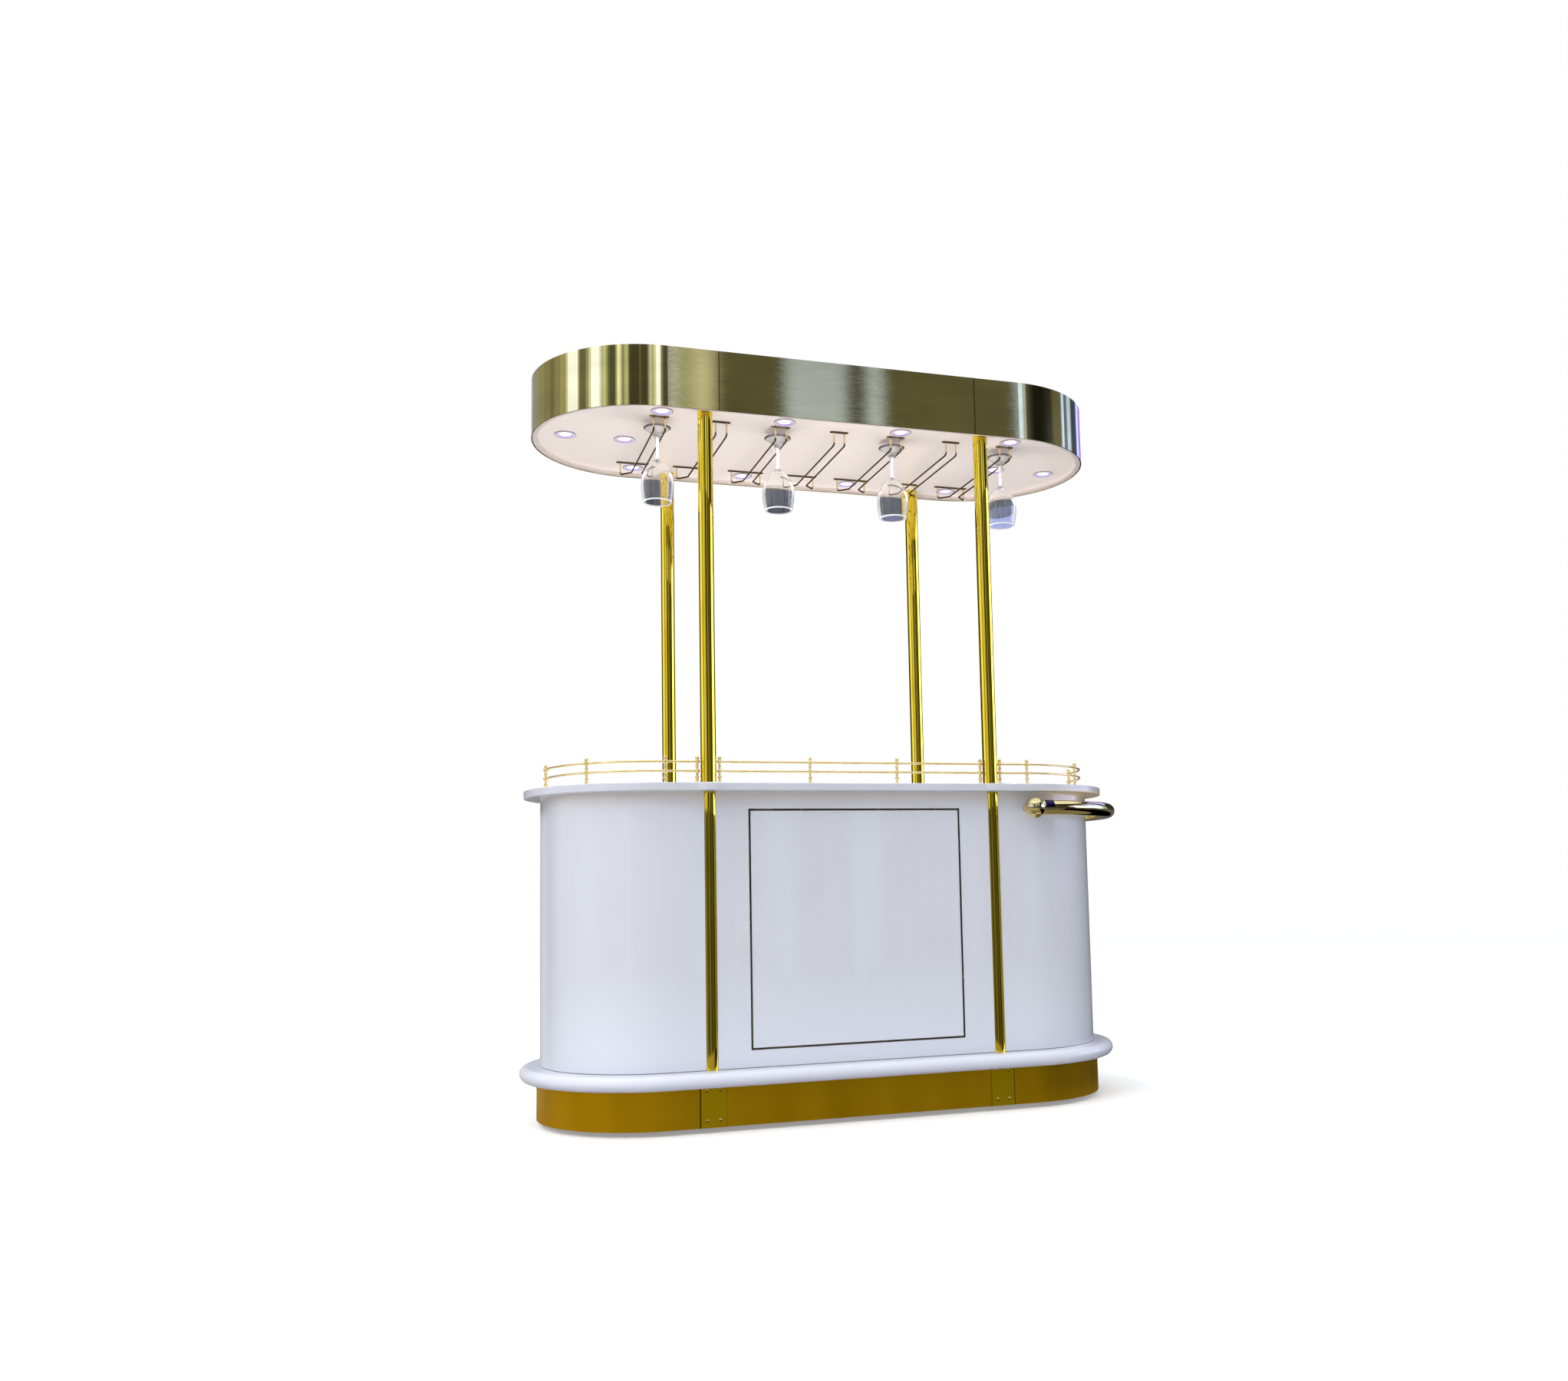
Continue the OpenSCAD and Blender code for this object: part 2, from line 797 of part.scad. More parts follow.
// Sweeps an outline round part of the handle's round end, between two angles from its front
module handle_ring(from, to) {
    translate([ring_x, 0, 0]) rotate([0, 0, from - 90]) rotate_extrude(angle = to - from, $fn = 144)
        translate([handle_r, 0]) children();
}

// Path of the handle, from before its round end to an angle on it
module handle_path(x0, angle) {
    translate([x0, -handle_r, 0]) rotate([90, 0, 90]) linear_extrude(ring_x - x0) children();
    handle_ring(0, angle) children();
}

module tube_ring(r, wall) {
    difference() {
        circle(r = r);
        circle(r = r - wall);
    }
}

tube_start = ball_x + standoff_d / 2 + 1;
half_gap_angle = asin(splice_gap / 2 / handle_r);
splice_angle = asin(splice_len / handle_r);

module handle_tube_front() {
    color("gold") placed() translate([0, 0, handle_z])
        handle_path(tube_start, 90 - half_gap_angle) tube_ring(tube_r, tube_wall);
}

// The back half has a spigot brazed into its end, which enters the front half
module handle_tube_back() {
    braze = tube_wall / 2;
    color("gold") placed() translate([0, 0, handle_z]) {
        mirror([0, 1, 0]) handle_path(tube_start, 90 - half_gap_angle) tube_ring(tube_r, tube_wall);
        handle_ring(90 - splice_angle, 90 + 2 * half_gap_angle)
            tube_ring(bore_r - running_gap, tube_wall);
        handle_ring(90 + half_gap_angle, 90 + splice_angle)
            tube_ring(bore_r + braze, tube_wall + braze);
    }
}

// Ball elbow castings, each with a collar round the tube and a socket for its standoff
module handle_balls() {
    boss_proud = 1.5;
    grub_depth = 7;
    collar_angle = asin((collar_len - ring_x + ball_x) / handle_r);
    color("gold") placed() for (side = [0, 1]) mirror([0, side, 0]) difference() {
        union() {
            translate([0, 0, handle_z]) handle_path(ball_x + tube_r / 2, collar_angle)
                circle(r = collar_r);
            translate([ball_x, -handle_r, handle_z]) rotate([90 + grub_dip, 0, 0]) {
                sphere(d = ball_d);
                cylinder(d = boss_d, h = ball_d / 2 + boss_proud);
            }
        }
        translate([0, 0, handle_z]) handle_path(tube_start - seat_gap, collar_angle + 1)
            circle(r = tube_r + running_gap);
        translate([ball_x, -handle_r + ball_d / 2 - standoff_socket, handle_z]) rotate([-90, 0, 0])
            cylinder(d = standoff_d + 2 * running_gap, h = ball_d);
        translate([ball_x, -handle_r, handle_z]) rotate([90 + grub_dip, 0, 0])
            translate([0, 0, ball_d / 2 + boss_proud - grub_depth])
                cylinder(d = grub_d, h = grub_depth + cut);
    }
}

// Standoffs from the balls to the body, with a rose outside and a nut and washer inside
module handle_standoffs() {
    length = handle_off - ball_d / 2 + standoff_socket - seat_gap;
    washer_d = 24;
    washer_t = 2;
    nut_d = 18;
    nut_h = 8;
    color("gold") placed() for (side = [0, 1]) mirror([0, side, 0])
        translate([ball_x, -body_r, handle_z]) rotate([90, 0, 0]) {
            cylinder(d = standoff_d, h = length);
            cylinder(d = rose_d, h = rose_t);
            translate([0, 0, -panel_t - seat_gap - washer_t]) {
                cylinder(d = washer_d, h = washer_t);
                translate([0, 0, -nut_h]) cylinder(d = nut_d, h = nut_h, $fn = 6);
                translate([0, 0, -nut_h - 2])
                    cylinder(d = standoff_stud_d, h = panel_t + washer_t + nut_h + 2 + cut);
            }
        }
}

// Canopy

module fascia(x0, x1) {
    placed() translate([0, 0, fascia_z]) linear_extrude(fascia_h) intersection() {
        stadium_ring(canopy_r, fascia_t);
        along(x0, x1);
        children();
    }
}

fascia_end_x = straight_half + canopy_r + cut;
fascia_front_half = fascia_joint_x - fascia_joint_gap / 2;
fascia_side_from = fascia_joint_x + fascia_joint_gap / 2;

module fascia_front() {
    color("darkkhaki") fascia(-fascia_front_half, fascia_front_half) front_side();
}

module fascia_back() {
    color("darkkhaki") fascia(-fascia_front_half, fascia_front_half) mirror([0, 1]) front_side();
}

module fascia_left() {
    color("darkkhaki") fascia(-fascia_end_x, -fascia_side_from) along(-fascia_end_x, 0);
}

module fascia_right() {
    color("darkkhaki") fascia(fascia_side_from, fascia_end_x) along(0, fascia_end_x);
}

lining_r = canopy_r - fascia_t - seat_gap;
board_z = ceiling_z + board_t;

module canopy_rim() {
    z0 = fascia_z + rim_step;
    color("seashell") placed() translate([0, 0, z0]) linear_extrude(ceiling_z - z0)
        stadium_ring(lining_r, rim_w);
}

light_places = concat(
    [for (x = [-3, -1, 1, 3]) for (side = [-1, 1]) [x * rack_pitch, side * (canopy_r - light_inset)]],
    [for (side = [-1, 1]) for (past = [light_end_near, light_end_far]) [side * (straight_half + past), 0]]
);

module at_lights() {
    for (p = light_places) translate([p.x, p.y, ceiling_z]) children();
}

module canopy_ceiling() {
    color("seashell") placed() difference() {
        translate([0, 0, ceiling_z]) linear_extrude(board_t) stadium(lining_r);
        at_lights() translate([0, 0, -cut]) cylinder(d = can_d + 2 * seat_gap, h = board_t + 2 * cut);
        at_columns() translate([0, 0, ceiling_z - cut])
            cylinder(d = stud_d + 2 * seat_gap, h = board_t + 2 * cut);
    }
}

// The timber ring behind the fascia and two bearers over the columns
module canopy_frame() {
    color("burlywood") placed() difference() {
        union() {
            translate([0, 0, board_z]) linear_extrude(roof_z - board_t - board_z)
                stadium_ring(lining_r, ring_t);
            for (side = [-1, 1]) translate([side * column_x - bearer_w / 2, -lining_r + cut, board_z])
                cube([bearer_w, 2 * lining_r - 2 * cut, bearer_h]);
        }
        at_columns() translate([0, 0, board_z - cut])
            cylinder(d = stud_d + 2 * seat_gap, h = stud_len - board_t + 2 * cut);
    }
}

module canopy_top() {
    color("burlywood") placed() translate([0, 0, roof_z - board_t]) linear_extrude(board_t)
        stadium(lining_r);
}

// Flanged cans that hold the lenses
module downlight_bezels() {
    can_wall = 2;
    color("white") placed() at_lights() difference() {
        union() {
            translate([0, 0, -bezel_t]) cylinder(d = bezel_d, h = bezel_t);
            cylinder(d = can_d, h = can_h);
        }
        translate([0, 0, -bezel_t - cut]) cylinder(d = lens_d + 2 * seat_gap, h = lens_t + bezel_t + cut);
        cylinder(d = lens_d - 4, h = can_h - can_wall);
    }
}

module downlight_lenses() {
    color("lightyellow") placed() at_lights() cylinder(d = lens_d, h = lens_t);
}

module led_driver() {
    size = [160, 52, 32];
    color("dimgray") placed() translate([-size.x / 2, -size.y / 2, board_z]) cube(size);
}

// Glass racks

wire_r = wire_d / 2;

// Stands out by this much where a straight wire meets a slanted bend
seam = 0.05;

// A quarter bend of the wire in the plane of Y and Z
module upright_bend(from) {
    rotate([90, 0, 90]) rotate([0, 0, from]) rotate_extrude(angle = 90, $fn = 48)
        translate([bend_r, 0]) circle(r = wire_r, $fn = 32);
}

module wire_run(length) {
    rotate([-90, 0, 0]) cylinder(r = wire_r, h = length, $fn = 32);
}

module wire_drop(z0) {
    translate([0, 0, z0]) cylinder(r = wire_r, h = ceiling_z - tab_t / 2 - z0, $fn = 32);
}

// One wire: down from the ceiling, back along the rack, out at an angle and up again
module rack_wire() {
    low = wire_z + bend_r;
    splay = 45;
    bend_out = bend_r * (1 - cos(splay));
    across = rack_mouth / 2 - rack_gap / 2 - bend_out;
    out = across / sin(splay) - bend_r;
    run_end = rack_back - bend_r * sin(splay) - across / tan(splay);
    translate([rack_gap / 2, -rack_front, 0]) {
        wire_drop(low);
        translate([0, bend_r, low]) upright_bend(180);
        translate([0, bend_r, wire_z]) wire_run(rack_front + run_end - bend_r);
        translate([0, rack_front + run_end, wire_z]) rotate([90, 0, 0])
            cylinder(r = wire_r + seam, h = 1, center = true);
    }
    translate([rack_gap / 2 + bend_r, run_end, 0]) rotate([0, 0, -splay]) {
        translate([0, 0, wire_z]) rotate([0, 0, 180]) rotate_extrude(angle = splay, $fn = 48)
            translate([bend_r, 0]) circle(r = wire_r, $fn = 32);
        translate([-bend_r, 0, wire_z]) wire_run(out);
        translate([-bend_r, out, low]) upright_bend(270);
        translate([-bend_r, out + bend_r, 0]) wire_drop(low);
    }
}

module rack_tab(y, reach) {
    half = reach / 2 + tab_over - tab_w / 2;
    translate([0, y, ceiling_z - tab_t]) linear_extrude(tab_t) {
        square([2 * half, tab_w], center = true);
        for (side = [-1, 1]) translate([side * half, 0]) circle(d = tab_w, $fn = 32);
    }
}

module rack(k) {
    translate([k * rack_pitch, 0, 0]) {
        rack_wire();
        mirror([1, 0, 0]) rack_wire();
        rack_tab(-rack_front, rack_gap);
        rack_tab(rack_back, rack_mouth);
    }
}

module racks_left() {
    color("gold") placed() for (k = [-3, -2, -1]) rack(k);
}

module rack_centre() {
    color("gold") placed() rack(0);
}

module racks_right() {
    color("gold") placed() for (k = [1, 2, 3]) rack(k);
}

// Wine glasses, hung by their feet

foot_r = foot_d / 2;
neck_r = neck_d / 2;
stem_r = stem_d / 2;
bowl_r = bowl_d / 2;
mouth_r = mouth_d / 2;
foot_power = 1.9;

// Height of the foot's upper surface at a radius
function foot_height(r) =
    foot_edge + (neck_z - foot_edge) * pow((foot_r - r) / (foot_r - neck_r), foot_power);

// Radius of the stem at a height, with a flare down to the neck and a small one up to the bowl
function stem_radius(z) =
    stem_r + (neck_r - stem_r) * pow(1 - (z - neck_z) / (bowl_z - neck_z), 3);

// Radius of the bowl at a height: a quarter ellipse up to its widest place, then drawn in
function bowl_radius(z, wall, base) =
    z < bowl_wide_z
        ? (bowl_r - wall) * sqrt(max(0, 1 - pow((bowl_wide_z - z) / (bowl_wide_z - bowl_z - base), 2)))
        : bowl_r - wall - (bowl_r - mouth_r) * pow((z - bowl_wide_z) / (glass_h - bowl_wide_z), 2);

// Height on the bowl's lower part at an angle from its bottom
function bowl_height(a, base) = bowl_wide_z - (bowl_wide_z - bowl_z - base) * cos(a);

function steps(from, to, count) = [for (i = [0 : count]) from + (to - from) * i / count];

module glass_outline() {
    base = 5;
    polygon(concat(
        [[0, 0], [foot_r, 0]],
        [for (r = steps(foot_r, neck_r, 10)) [r, foot_height(r)]],
        [for (z = steps(neck_z + 6, bowl_z, 7)) [stem_radius(z), z]],
        [for (a = steps(6, 90, 12)) let (z = bowl_height(a, 0))
            [bowl_radius(z, 0, 0) + 1.2 * cos(a), z]],
        [for (z = steps(bowl_wide_z, glass_h, 6)) if (z > bowl_wide_z) [bowl_radius(z, 0, 0), z]],
        [for (z = steps(glass_h, bowl_wide_z, 6)) [bowl_radius(z, glass_wall, 0), z]],
        [for (a = steps(80, 0, 10)) let (z = bowl_height(a, base))
            [bowl_radius(z, glass_wall, base), z]]
    ));
}

// How far the foot's flat face stands above the wire axes when the cone of the foot rests on them
rest_r = wire_r + seat_gap;
foot_lift = max([for (i = [-9 : 9]) let (r = rack_gap / 2 + rest_r * i / 10)
    foot_height(r) + sqrt(rest_r * rest_r - pow(r - rack_gap / 2, 2))]);
glass_y = -rack_front + sqrt(pow(foot_r + wire_r + seat_gap, 2) - pow(rack_gap / 2, 2));

module wine_glass(k) {
    color("lightcyan") placed() translate([k * rack_pitch, glass_y, wire_z + foot_lift])
        rotate([180, 0, 0]) rotate_extrude() glass_outline();
}

module wine_glass_1() {
    wine_glass(-3);
}

module wine_glass_2() {
    wine_glass(-1);
}

module wine_glass_3() {
    wine_glass(1);
}

module wine_glass_4() {
    wine_glass(3);
}

// Castors

wheel_r = wheel_d / 2;
plate_t = 3;
crown_t = 10;
crown_r = 22;
race_h = 6;
crown_z = deck_z - plate_t - race_h - crown_t;
plate_size = [80, 64];

module castor_plates() {
    head_h = 5;
    color("silver") placed() for (c = CORNERS) castor_place(c) {
        translate([-plate_size.x / 2, -plate_size.y / 2, deck_z - plate_t])
            cube([plate_size.x, plate_size.y, plate_t]);
        translate([0, 0, crown_z + crown_t + side_gap])
            cylinder(r = crown_r - 2, h = deck_z - crown_z - crown_t - side_gap - plate_t / 2);
        translate([0, 0, crown_z - side_gap - head_h / 2]) cylinder(d = kingpin_d, h = deck_z - crown_z);
        translate([0, 0, crown_z - side_gap - head_h]) cylinder(d = kingpin_d + 6, h = head_h);
    }
}

// Side view of a fork leg, from the crown down and back to the axle
module leg_outline() {
    boss = axle_d / 2 + 6;
    polygon([[-crown_r + 4, crown_z + crown_t], [crown_r - 4, crown_z + crown_t],
        [crown_r - 4, crown_z], [castor_trail + boss - 2, wheel_r + 5],
        [castor_trail - boss + 2, wheel_r - 5]]);
    translate([castor_trail, wheel_r]) circle(r = boss);
}

module castor_fork(c) {
    leg_in = wheel_w / 2 + 1;
    head_t = 2.5;
    color("silver") placed() castor_place(c) difference() {
        union() {
            translate([0, 0, crown_z]) cylinder(r = crown_r, h = crown_t);
            for (side = [0, 1]) mirror([0, side, 0]) translate([0, leg_in + fork_t, 0])
                rotate([90, 0, 0]) linear_extrude(fork_t) leg_outline();
            translate([castor_trail, 0, wheel_r]) rotate([90, 0, 0])
                cylinder(d = axle_d, h = 2 * (leg_in + fork_t), center = true);
            for (side = [-1, 1]) translate([castor_trail, side * (leg_in + fork_t), wheel_r])
                rotate([90, 0, 0]) cylinder(d = axle_d + 5, h = head_t, center = true);
        }
        translate([0, 0, crown_z - cut])
            cylinder(d = kingpin_d + 2 * running_gap, h = crown_t + 2 * cut);
    }
}

module castor_fork_front_left() {
    castor_fork(CORNERS[0]);
}

module castor_fork_front_right() {
    castor_fork(CORNERS[1]);
}

module castor_fork_back_left() {
    castor_fork(CORNERS[2]);
}

module castor_fork_back_right() {
    castor_fork(CORNERS[3]);
}

module castor_wheel(c) {
    round = 5;
    color("dimgray") placed() castor_place(c) translate([castor_trail, 0, wheel_r]) rotate([90, 0, 0])
        difference() {
            rotate_extrude() {
                translate([0, -wheel_w / 2]) square([wheel_r - round, wheel_w]);
                translate([0, -wheel_w / 2 + round]) square([wheel_r, wheel_w - 2 * round]);
                for (side = [-1, 1]) translate([wheel_r - round, side * (wheel_w / 2 - round)])
                    circle(r = round, $fn = 32);
            }
            cylinder(d = axle_d + 2 * running_gap, h = 2 * wheel_w, center = true);
        }
}

module castor_wheel_front_left() {
    castor_wheel(CORNERS[0]);
}

module castor_wheel_front_right() {
    castor_wheel(CORNERS[1]);
}

module castor_wheel_back_left() {
    castor_wheel(CORNERS[2]);
}

module castor_wheel_back_right() {
    castor_wheel(CORNERS[3]);
}

base_deck();
plinth_curb();
skirt_front();
skirt_back();
skirt_left();
skirt_right();
skirt_straps();
bumper_ledge();
front_panel();
front_inlay();
end_panel_left();
end_panel_right();
back_frame();
bulkheads();
shelf();
door_left();
door_right();
hinge_frame_leaves();
door_fittings_left();
door_fittings_right();
door_catches();
countertop();
column_front_left();
column_front_right();
column_back_left();
column_back_right();
column_spigots();
gallery_posts();
gallery_rails();
handle_tube_front();
handle_tube_back();
handle_balls();
handle_standoffs();
fascia_front();
fascia_back();
fascia_left();
fascia_right();
canopy_rim();
canopy_ceiling();
canopy_frame();
canopy_top();
downlight_bezels();
downlight_lenses();
led_driver();
racks_left();
rack_centre();
racks_right();
wine_glass_1();
wine_glass_2();
wine_glass_3();
wine_glass_4();
castor_plates();
castor_fork_front_left();
castor_fork_front_right();
castor_fork_back_left();
castor_fork_back_right();
castor_wheel_front_left();
castor_wheel_front_right();
castor_wheel_back_left();
castor_wheel_back_right();
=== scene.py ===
# %% [markdown]
# # A champagne cart, dressed for its photograph
# The solids of the cart come from its CAD model as a fixed frame. This lesson gives each one the
# finish that the real cart has: brushed brass round the canopy, polished brass tubes, white
# lacquer, clear glass. It adds a camera, lights and a floor, and it blows four new wine glasses.

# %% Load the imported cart
import json
import math

import bmesh
import bpy
from mathutils import Matrix, Vector


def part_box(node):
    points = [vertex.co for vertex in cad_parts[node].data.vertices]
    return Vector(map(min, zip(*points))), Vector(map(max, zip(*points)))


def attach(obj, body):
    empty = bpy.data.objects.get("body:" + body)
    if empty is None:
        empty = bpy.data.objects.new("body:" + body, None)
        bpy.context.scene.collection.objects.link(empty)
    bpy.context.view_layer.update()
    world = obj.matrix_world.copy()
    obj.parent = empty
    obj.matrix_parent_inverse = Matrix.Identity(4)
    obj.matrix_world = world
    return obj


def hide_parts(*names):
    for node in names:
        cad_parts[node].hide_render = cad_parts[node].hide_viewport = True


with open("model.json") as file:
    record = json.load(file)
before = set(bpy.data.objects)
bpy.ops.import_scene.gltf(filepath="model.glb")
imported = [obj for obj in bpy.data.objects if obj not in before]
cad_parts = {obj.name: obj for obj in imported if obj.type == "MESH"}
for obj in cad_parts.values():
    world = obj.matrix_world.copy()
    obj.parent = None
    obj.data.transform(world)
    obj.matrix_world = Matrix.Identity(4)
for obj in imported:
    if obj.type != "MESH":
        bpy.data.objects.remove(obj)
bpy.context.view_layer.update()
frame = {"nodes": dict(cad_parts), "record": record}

nodes = frame["nodes"]
# The frame's origin lies under the middle of the whole length, handle included. The middle of the
# cabinet, about which all else is laid out, is a little to its left.
MIDDLE_X = sum(corner[0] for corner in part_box("fascia_front")) / 2
print("the cabinet's middle is at x =", round(MIDDLE_X, 4))

# %% [markdown]
# ## Camera
# The photograph was taken from the front, a little to the left, from low down and looking slightly
# up. The camera could be set by eye, but a lens and a place that come from matching known corners
# of the cart to the picture leave little to guess. The frame was cropped off centre, so the lens is
# shifted, which keeps the verticals as they are.

# %% Place the camera
PHOTO_WIDE, PHOTO_HIGH = 2044, 1800
FOCAL_PIXELS = 1754.75
OPTICAL_CENTRE = (1115.15, 981.31)
CAMERA_AT = Vector((MIDDLE_X - 1.16641, -3.83998, 0.63626))
CAMERA_YAW, CAMERA_PITCH, CAMERA_ROLL = 0.3189, 0.0979, -0.0210

forward = Vector((math.sin(CAMERA_YAW) * math.cos(CAMERA_PITCH),
                  math.cos(CAMERA_YAW) * math.cos(CAMERA_PITCH), math.sin(CAMERA_PITCH)))
level_right = Vector((math.cos(CAMERA_YAW), -math.sin(CAMERA_YAW), 0))
level_up = level_right.cross(forward)
right = math.cos(CAMERA_ROLL) * level_right + math.sin(CAMERA_ROLL) * level_up
up = -math.sin(CAMERA_ROLL) * level_right + math.cos(CAMERA_ROLL) * level_up
turned_to_cart = Matrix((right, up, -forward)).transposed().to_4x4()

camera_data = bpy.data.cameras.new("photo_camera")
camera_data.sensor_width = 36
camera_data.lens = FOCAL_PIXELS * camera_data.sensor_width / PHOTO_WIDE
camera_data.shift_x = (PHOTO_WIDE / 2 - OPTICAL_CENTRE[0]) / PHOTO_WIDE
camera_data.shift_y = (OPTICAL_CENTRE[1] - PHOTO_HIGH / 2) / PHOTO_WIDE
camera_data.clip_end = 200
camera = bpy.data.objects.new("photo_camera", camera_data)
camera.matrix_world = Matrix.Translation(CAMERA_AT) @ turned_to_cart
bpy.context.scene.collection.objects.link(camera)
bpy.context.scene.camera = camera
print("lens", round(camera_data.lens, 2), "mm")

# %% [markdown]
# ## A workbench for finishes
# Every finish is a node tree on the principled shader. The nodes could be wired by hand in the
# shader editor, but helpers keep a recipe short: each one adds a node, sets its numbers and returns
# the socket that comes out of it. Places on the cart are read in metres from the object
# coordinates, which move with a door or a glass.

# %% Node helpers
FINISHES = {}


def is_socket(value):
    return isinstance(value, bpy.types.NodeSocket)


class Finish:
    """A material under construction on the principled shader."""

    def __init__(self, name, colour=(0.8, 0.8, 0.8), **sockets):
        self.material = FINISHES[name] = bpy.data.materials.new(name)
        self.material.use_nodes = True
        self.tree = self.material.node_tree
        self.shader = self.tree.nodes["Principled BSDF"]
        self.shader.inputs["Base Color"].default_value = (*colour, 1)
        for socket, value in sockets.items():
            self.set(socket.replace("_", " ").title().replace("Ior", "IOR"), value)

    def set(self, socket, value):
        self.shader.inputs[socket].default_value = value

    def link(self, out, socket):
        self.tree.links.new(out, self.shader.inputs[socket])

    def add(self, kind, out=0, properties=(), **inputs):
        """Adds a node. An input is given by its name, or by its number as i0, i1 and so on."""
        node = self.tree.nodes.new("ShaderNode" + kind)
        for key, value in dict(properties).items():
            setattr(node, key, value)
        for key, value in inputs.items():
            numbered = key[0] == "i" and key[1:].isdigit()
            socket = node.inputs[int(key[1:]) if numbered else key]
            if is_socket(value):
                self.tree.links.new(value, socket)
            else:
                socket.default_value = value
        return node.outputs[out]

    def place(self):
        return self.add("TexCoord", "Object")

    def coordinate(self, axis):
        """One coordinate of the place: 0 along the cart, 1 across it, 2 upwards."""
        return self.add("SeparateXYZ", axis, Vector=self.place())

    def height(self):
        """Height over the floor."""
        return self.coordinate(2)

    def along(self):
        """Distance from the cabinet's middle along the cart, to either side."""
        return self.math("ABSOLUTE", self.math("SUBTRACT", self.coordinate(0), MIDDLE_X))

    def upward(self):
        """How far the surface faces up: 1 for a top, 0 for a wall, -1 for an underside."""
        return self.add("SeparateXYZ", 2, Vector=self.add("NewGeometry", "Normal"))

    def stretched(self, scale):
        """Object coordinates multiplied by a scale along each axis."""
        return self.add("Mapping", Vector=self.place(), Scale=scale)

    def noise(self, scale, detail=4.0, rough=0.5):
        """Noise from 0 to 1 whose grains are 1 / scale metres long along each axis."""
        return self.add("TexNoise", "Fac", Vector=self.stretched(scale), Scale=1.0,
                        Detail=detail, Roughness=rough)

    def math(self, operation, *values):
        """One step of arithmetic on sockets or numbers."""
        return self.add("Math", 0, {"operation": operation},
                        **{"i%d" % k: value for k, value in enumerate(values)})

    def spread(self, value, low, high, out_low, out_high):
        """Maps a range of a value on to another range."""
        return self.add("MapRange", i0=value, i1=low, i2=high, i3=out_low, i4=out_high)

    def within(self, value, centre, reach, soft):
        """1 within a reach of a centre, falling softly to 0 outside it."""
        away = self.math("ABSOLUTE", self.math("SUBTRACT", value, centre))
        return self.spread(away, reach, reach + soft, 1, 0)

    def tint(self, value, dark, light):
        """A colour between two colours or colour sockets, by a value from 0 to 1."""
        ends = [end if is_socket(end) else (*end, 1) for end in (dark, light)]
        return self.add("Mix", 2, {"data_type": "RGBA"}, i0=value, i6=ends[0], i7=ends[1])

    def relief(self, value, depth):
        """Links a height of a depth in metres to the shader's normal."""
        self.link(self.add("Bump", Strength=1.0, Distance=depth, Height=value), "Normal")


print("workbench ready")

# %% [markdown]
# ## Brushed brass of the canopy
# The fascia is sheet brass, brushed along its length. Brushing leaves fine level scratches, so the
# metal reflects sharply from side to side but smears each light up and down into a tall streak.
# Streaks could be painted on, but painted ones don't move with the view. An anisotropic shader
# makes them out of whatever stands round the cart. Stretched noise draws the scratches, and a dark
# line marks the joints where the bent ends meet the straight sheets.

# %% Fascia brass
FASCIA_BRASS, FASCIA_JOINT_SHADE = (0.72, 0.66, 0.31), (0.30, 0.26, 0.12)
FASCIA_JOINT_X = 0.380


def brushed_brass():
    brass = Finish("brushed_brass_fascia", metallic=1.0, anisotropic=1.0,
                   anisotropic_rotation=0.25)
    scratches = brass.noise((6, 6, 1500), 3)
    clouds = brass.noise((5, 5, 14), 4)
    tone = brass.math("MULTIPLY_ADD", scratches, 0.5, clouds)
    dark, light = (tuple(c * k for c in FASCIA_BRASS) for k in (0.86, 1.1))
    sheet = brass.tint(brass.spread(tone, 0.5, 1.0, 0, 1), dark, light)
    joint = brass.within(brass.along(), FASCIA_JOINT_X, 0.0012, 0.0015)
    brass.link(brass.tint(joint, sheet, FASCIA_JOINT_SHADE), "Base Color")
    brass.link(brass.spread(scratches, 0.3, 0.7, 0.03, 0.06), "Roughness")
    brass.relief(scratches, 0.00001)
    return brass.material


print(brushed_brass().name, "with joints", FASCIA_JOINT_X, "m from the middle")

# %% [markdown]
# ## Polished brass
# The columns, the gallery and the fittings are polished tube, rod and castings. A plain yellow
# mirror would look too perfect, because real tube has draw lines along it and fingermarks on it. So
# one recipe with faint lines and an uneven, low roughness serves them all, and each gets its own
# tones. The columns are cleaned most and have no lines. The thin gallery is less of a mirror. The
# hinges and knobs get painted light and shade: bright on top and dark below, by the way they face.

# %% Tube, rail and fitting brass
def polished_brass(name, dark, light, rough, marks=0.05, lines=0.0000015):
    """Brass from dark to light tones; marks adds to the roughness, lines is their depth."""
    brass = Finish(name, metallic=1.0)
    haze = brass.noise((25, 25, 6), 5)
    brass.colour = brass.tint(brass.spread(haze, 0.35, 0.65, 0, 1), dark, light)
    brass.link(brass.colour, "Base Color")
    brass.link(brass.spread(haze, 0.35, 0.75, rough, rough + marks), "Roughness")
    if lines:
        brass.relief(brass.noise((900, 900, 2), 2), lines)
    return brass


column_brass = polished_brass("polished_brass_column", (0.78, 0.58, 0.03), (0.88, 0.68, 0.07),
                              0.015, marks=0.03, lines=0)
gallery_brass = polished_brass("polished_brass_gallery", (0.94, 0.72, 0.28), (1.0, 0.85, 0.46),
                               0.14)
gallery_brass.set("Metallic", 0.75)
fitting_brass = polished_brass("hardware_brass", (0.72, 0.55, 0.22), (0.84, 0.66, 0.30), 0.15)
# Painted light and shade on the fittings: dark where they face down, bright where they face up.
lit_side = fitting_brass.spread(fitting_brass.upward(), -0.5, 0.6, 0, 1)
fitting_brass.link(fitting_brass.tint(lit_side, (0.10, 0.07, 0.02), (1.0, 0.90, 0.62)),
                   "Base Color")
print("three brasses:", *(brass.material.name
                          for brass in (column_brass, gallery_brass, fitting_brass)))
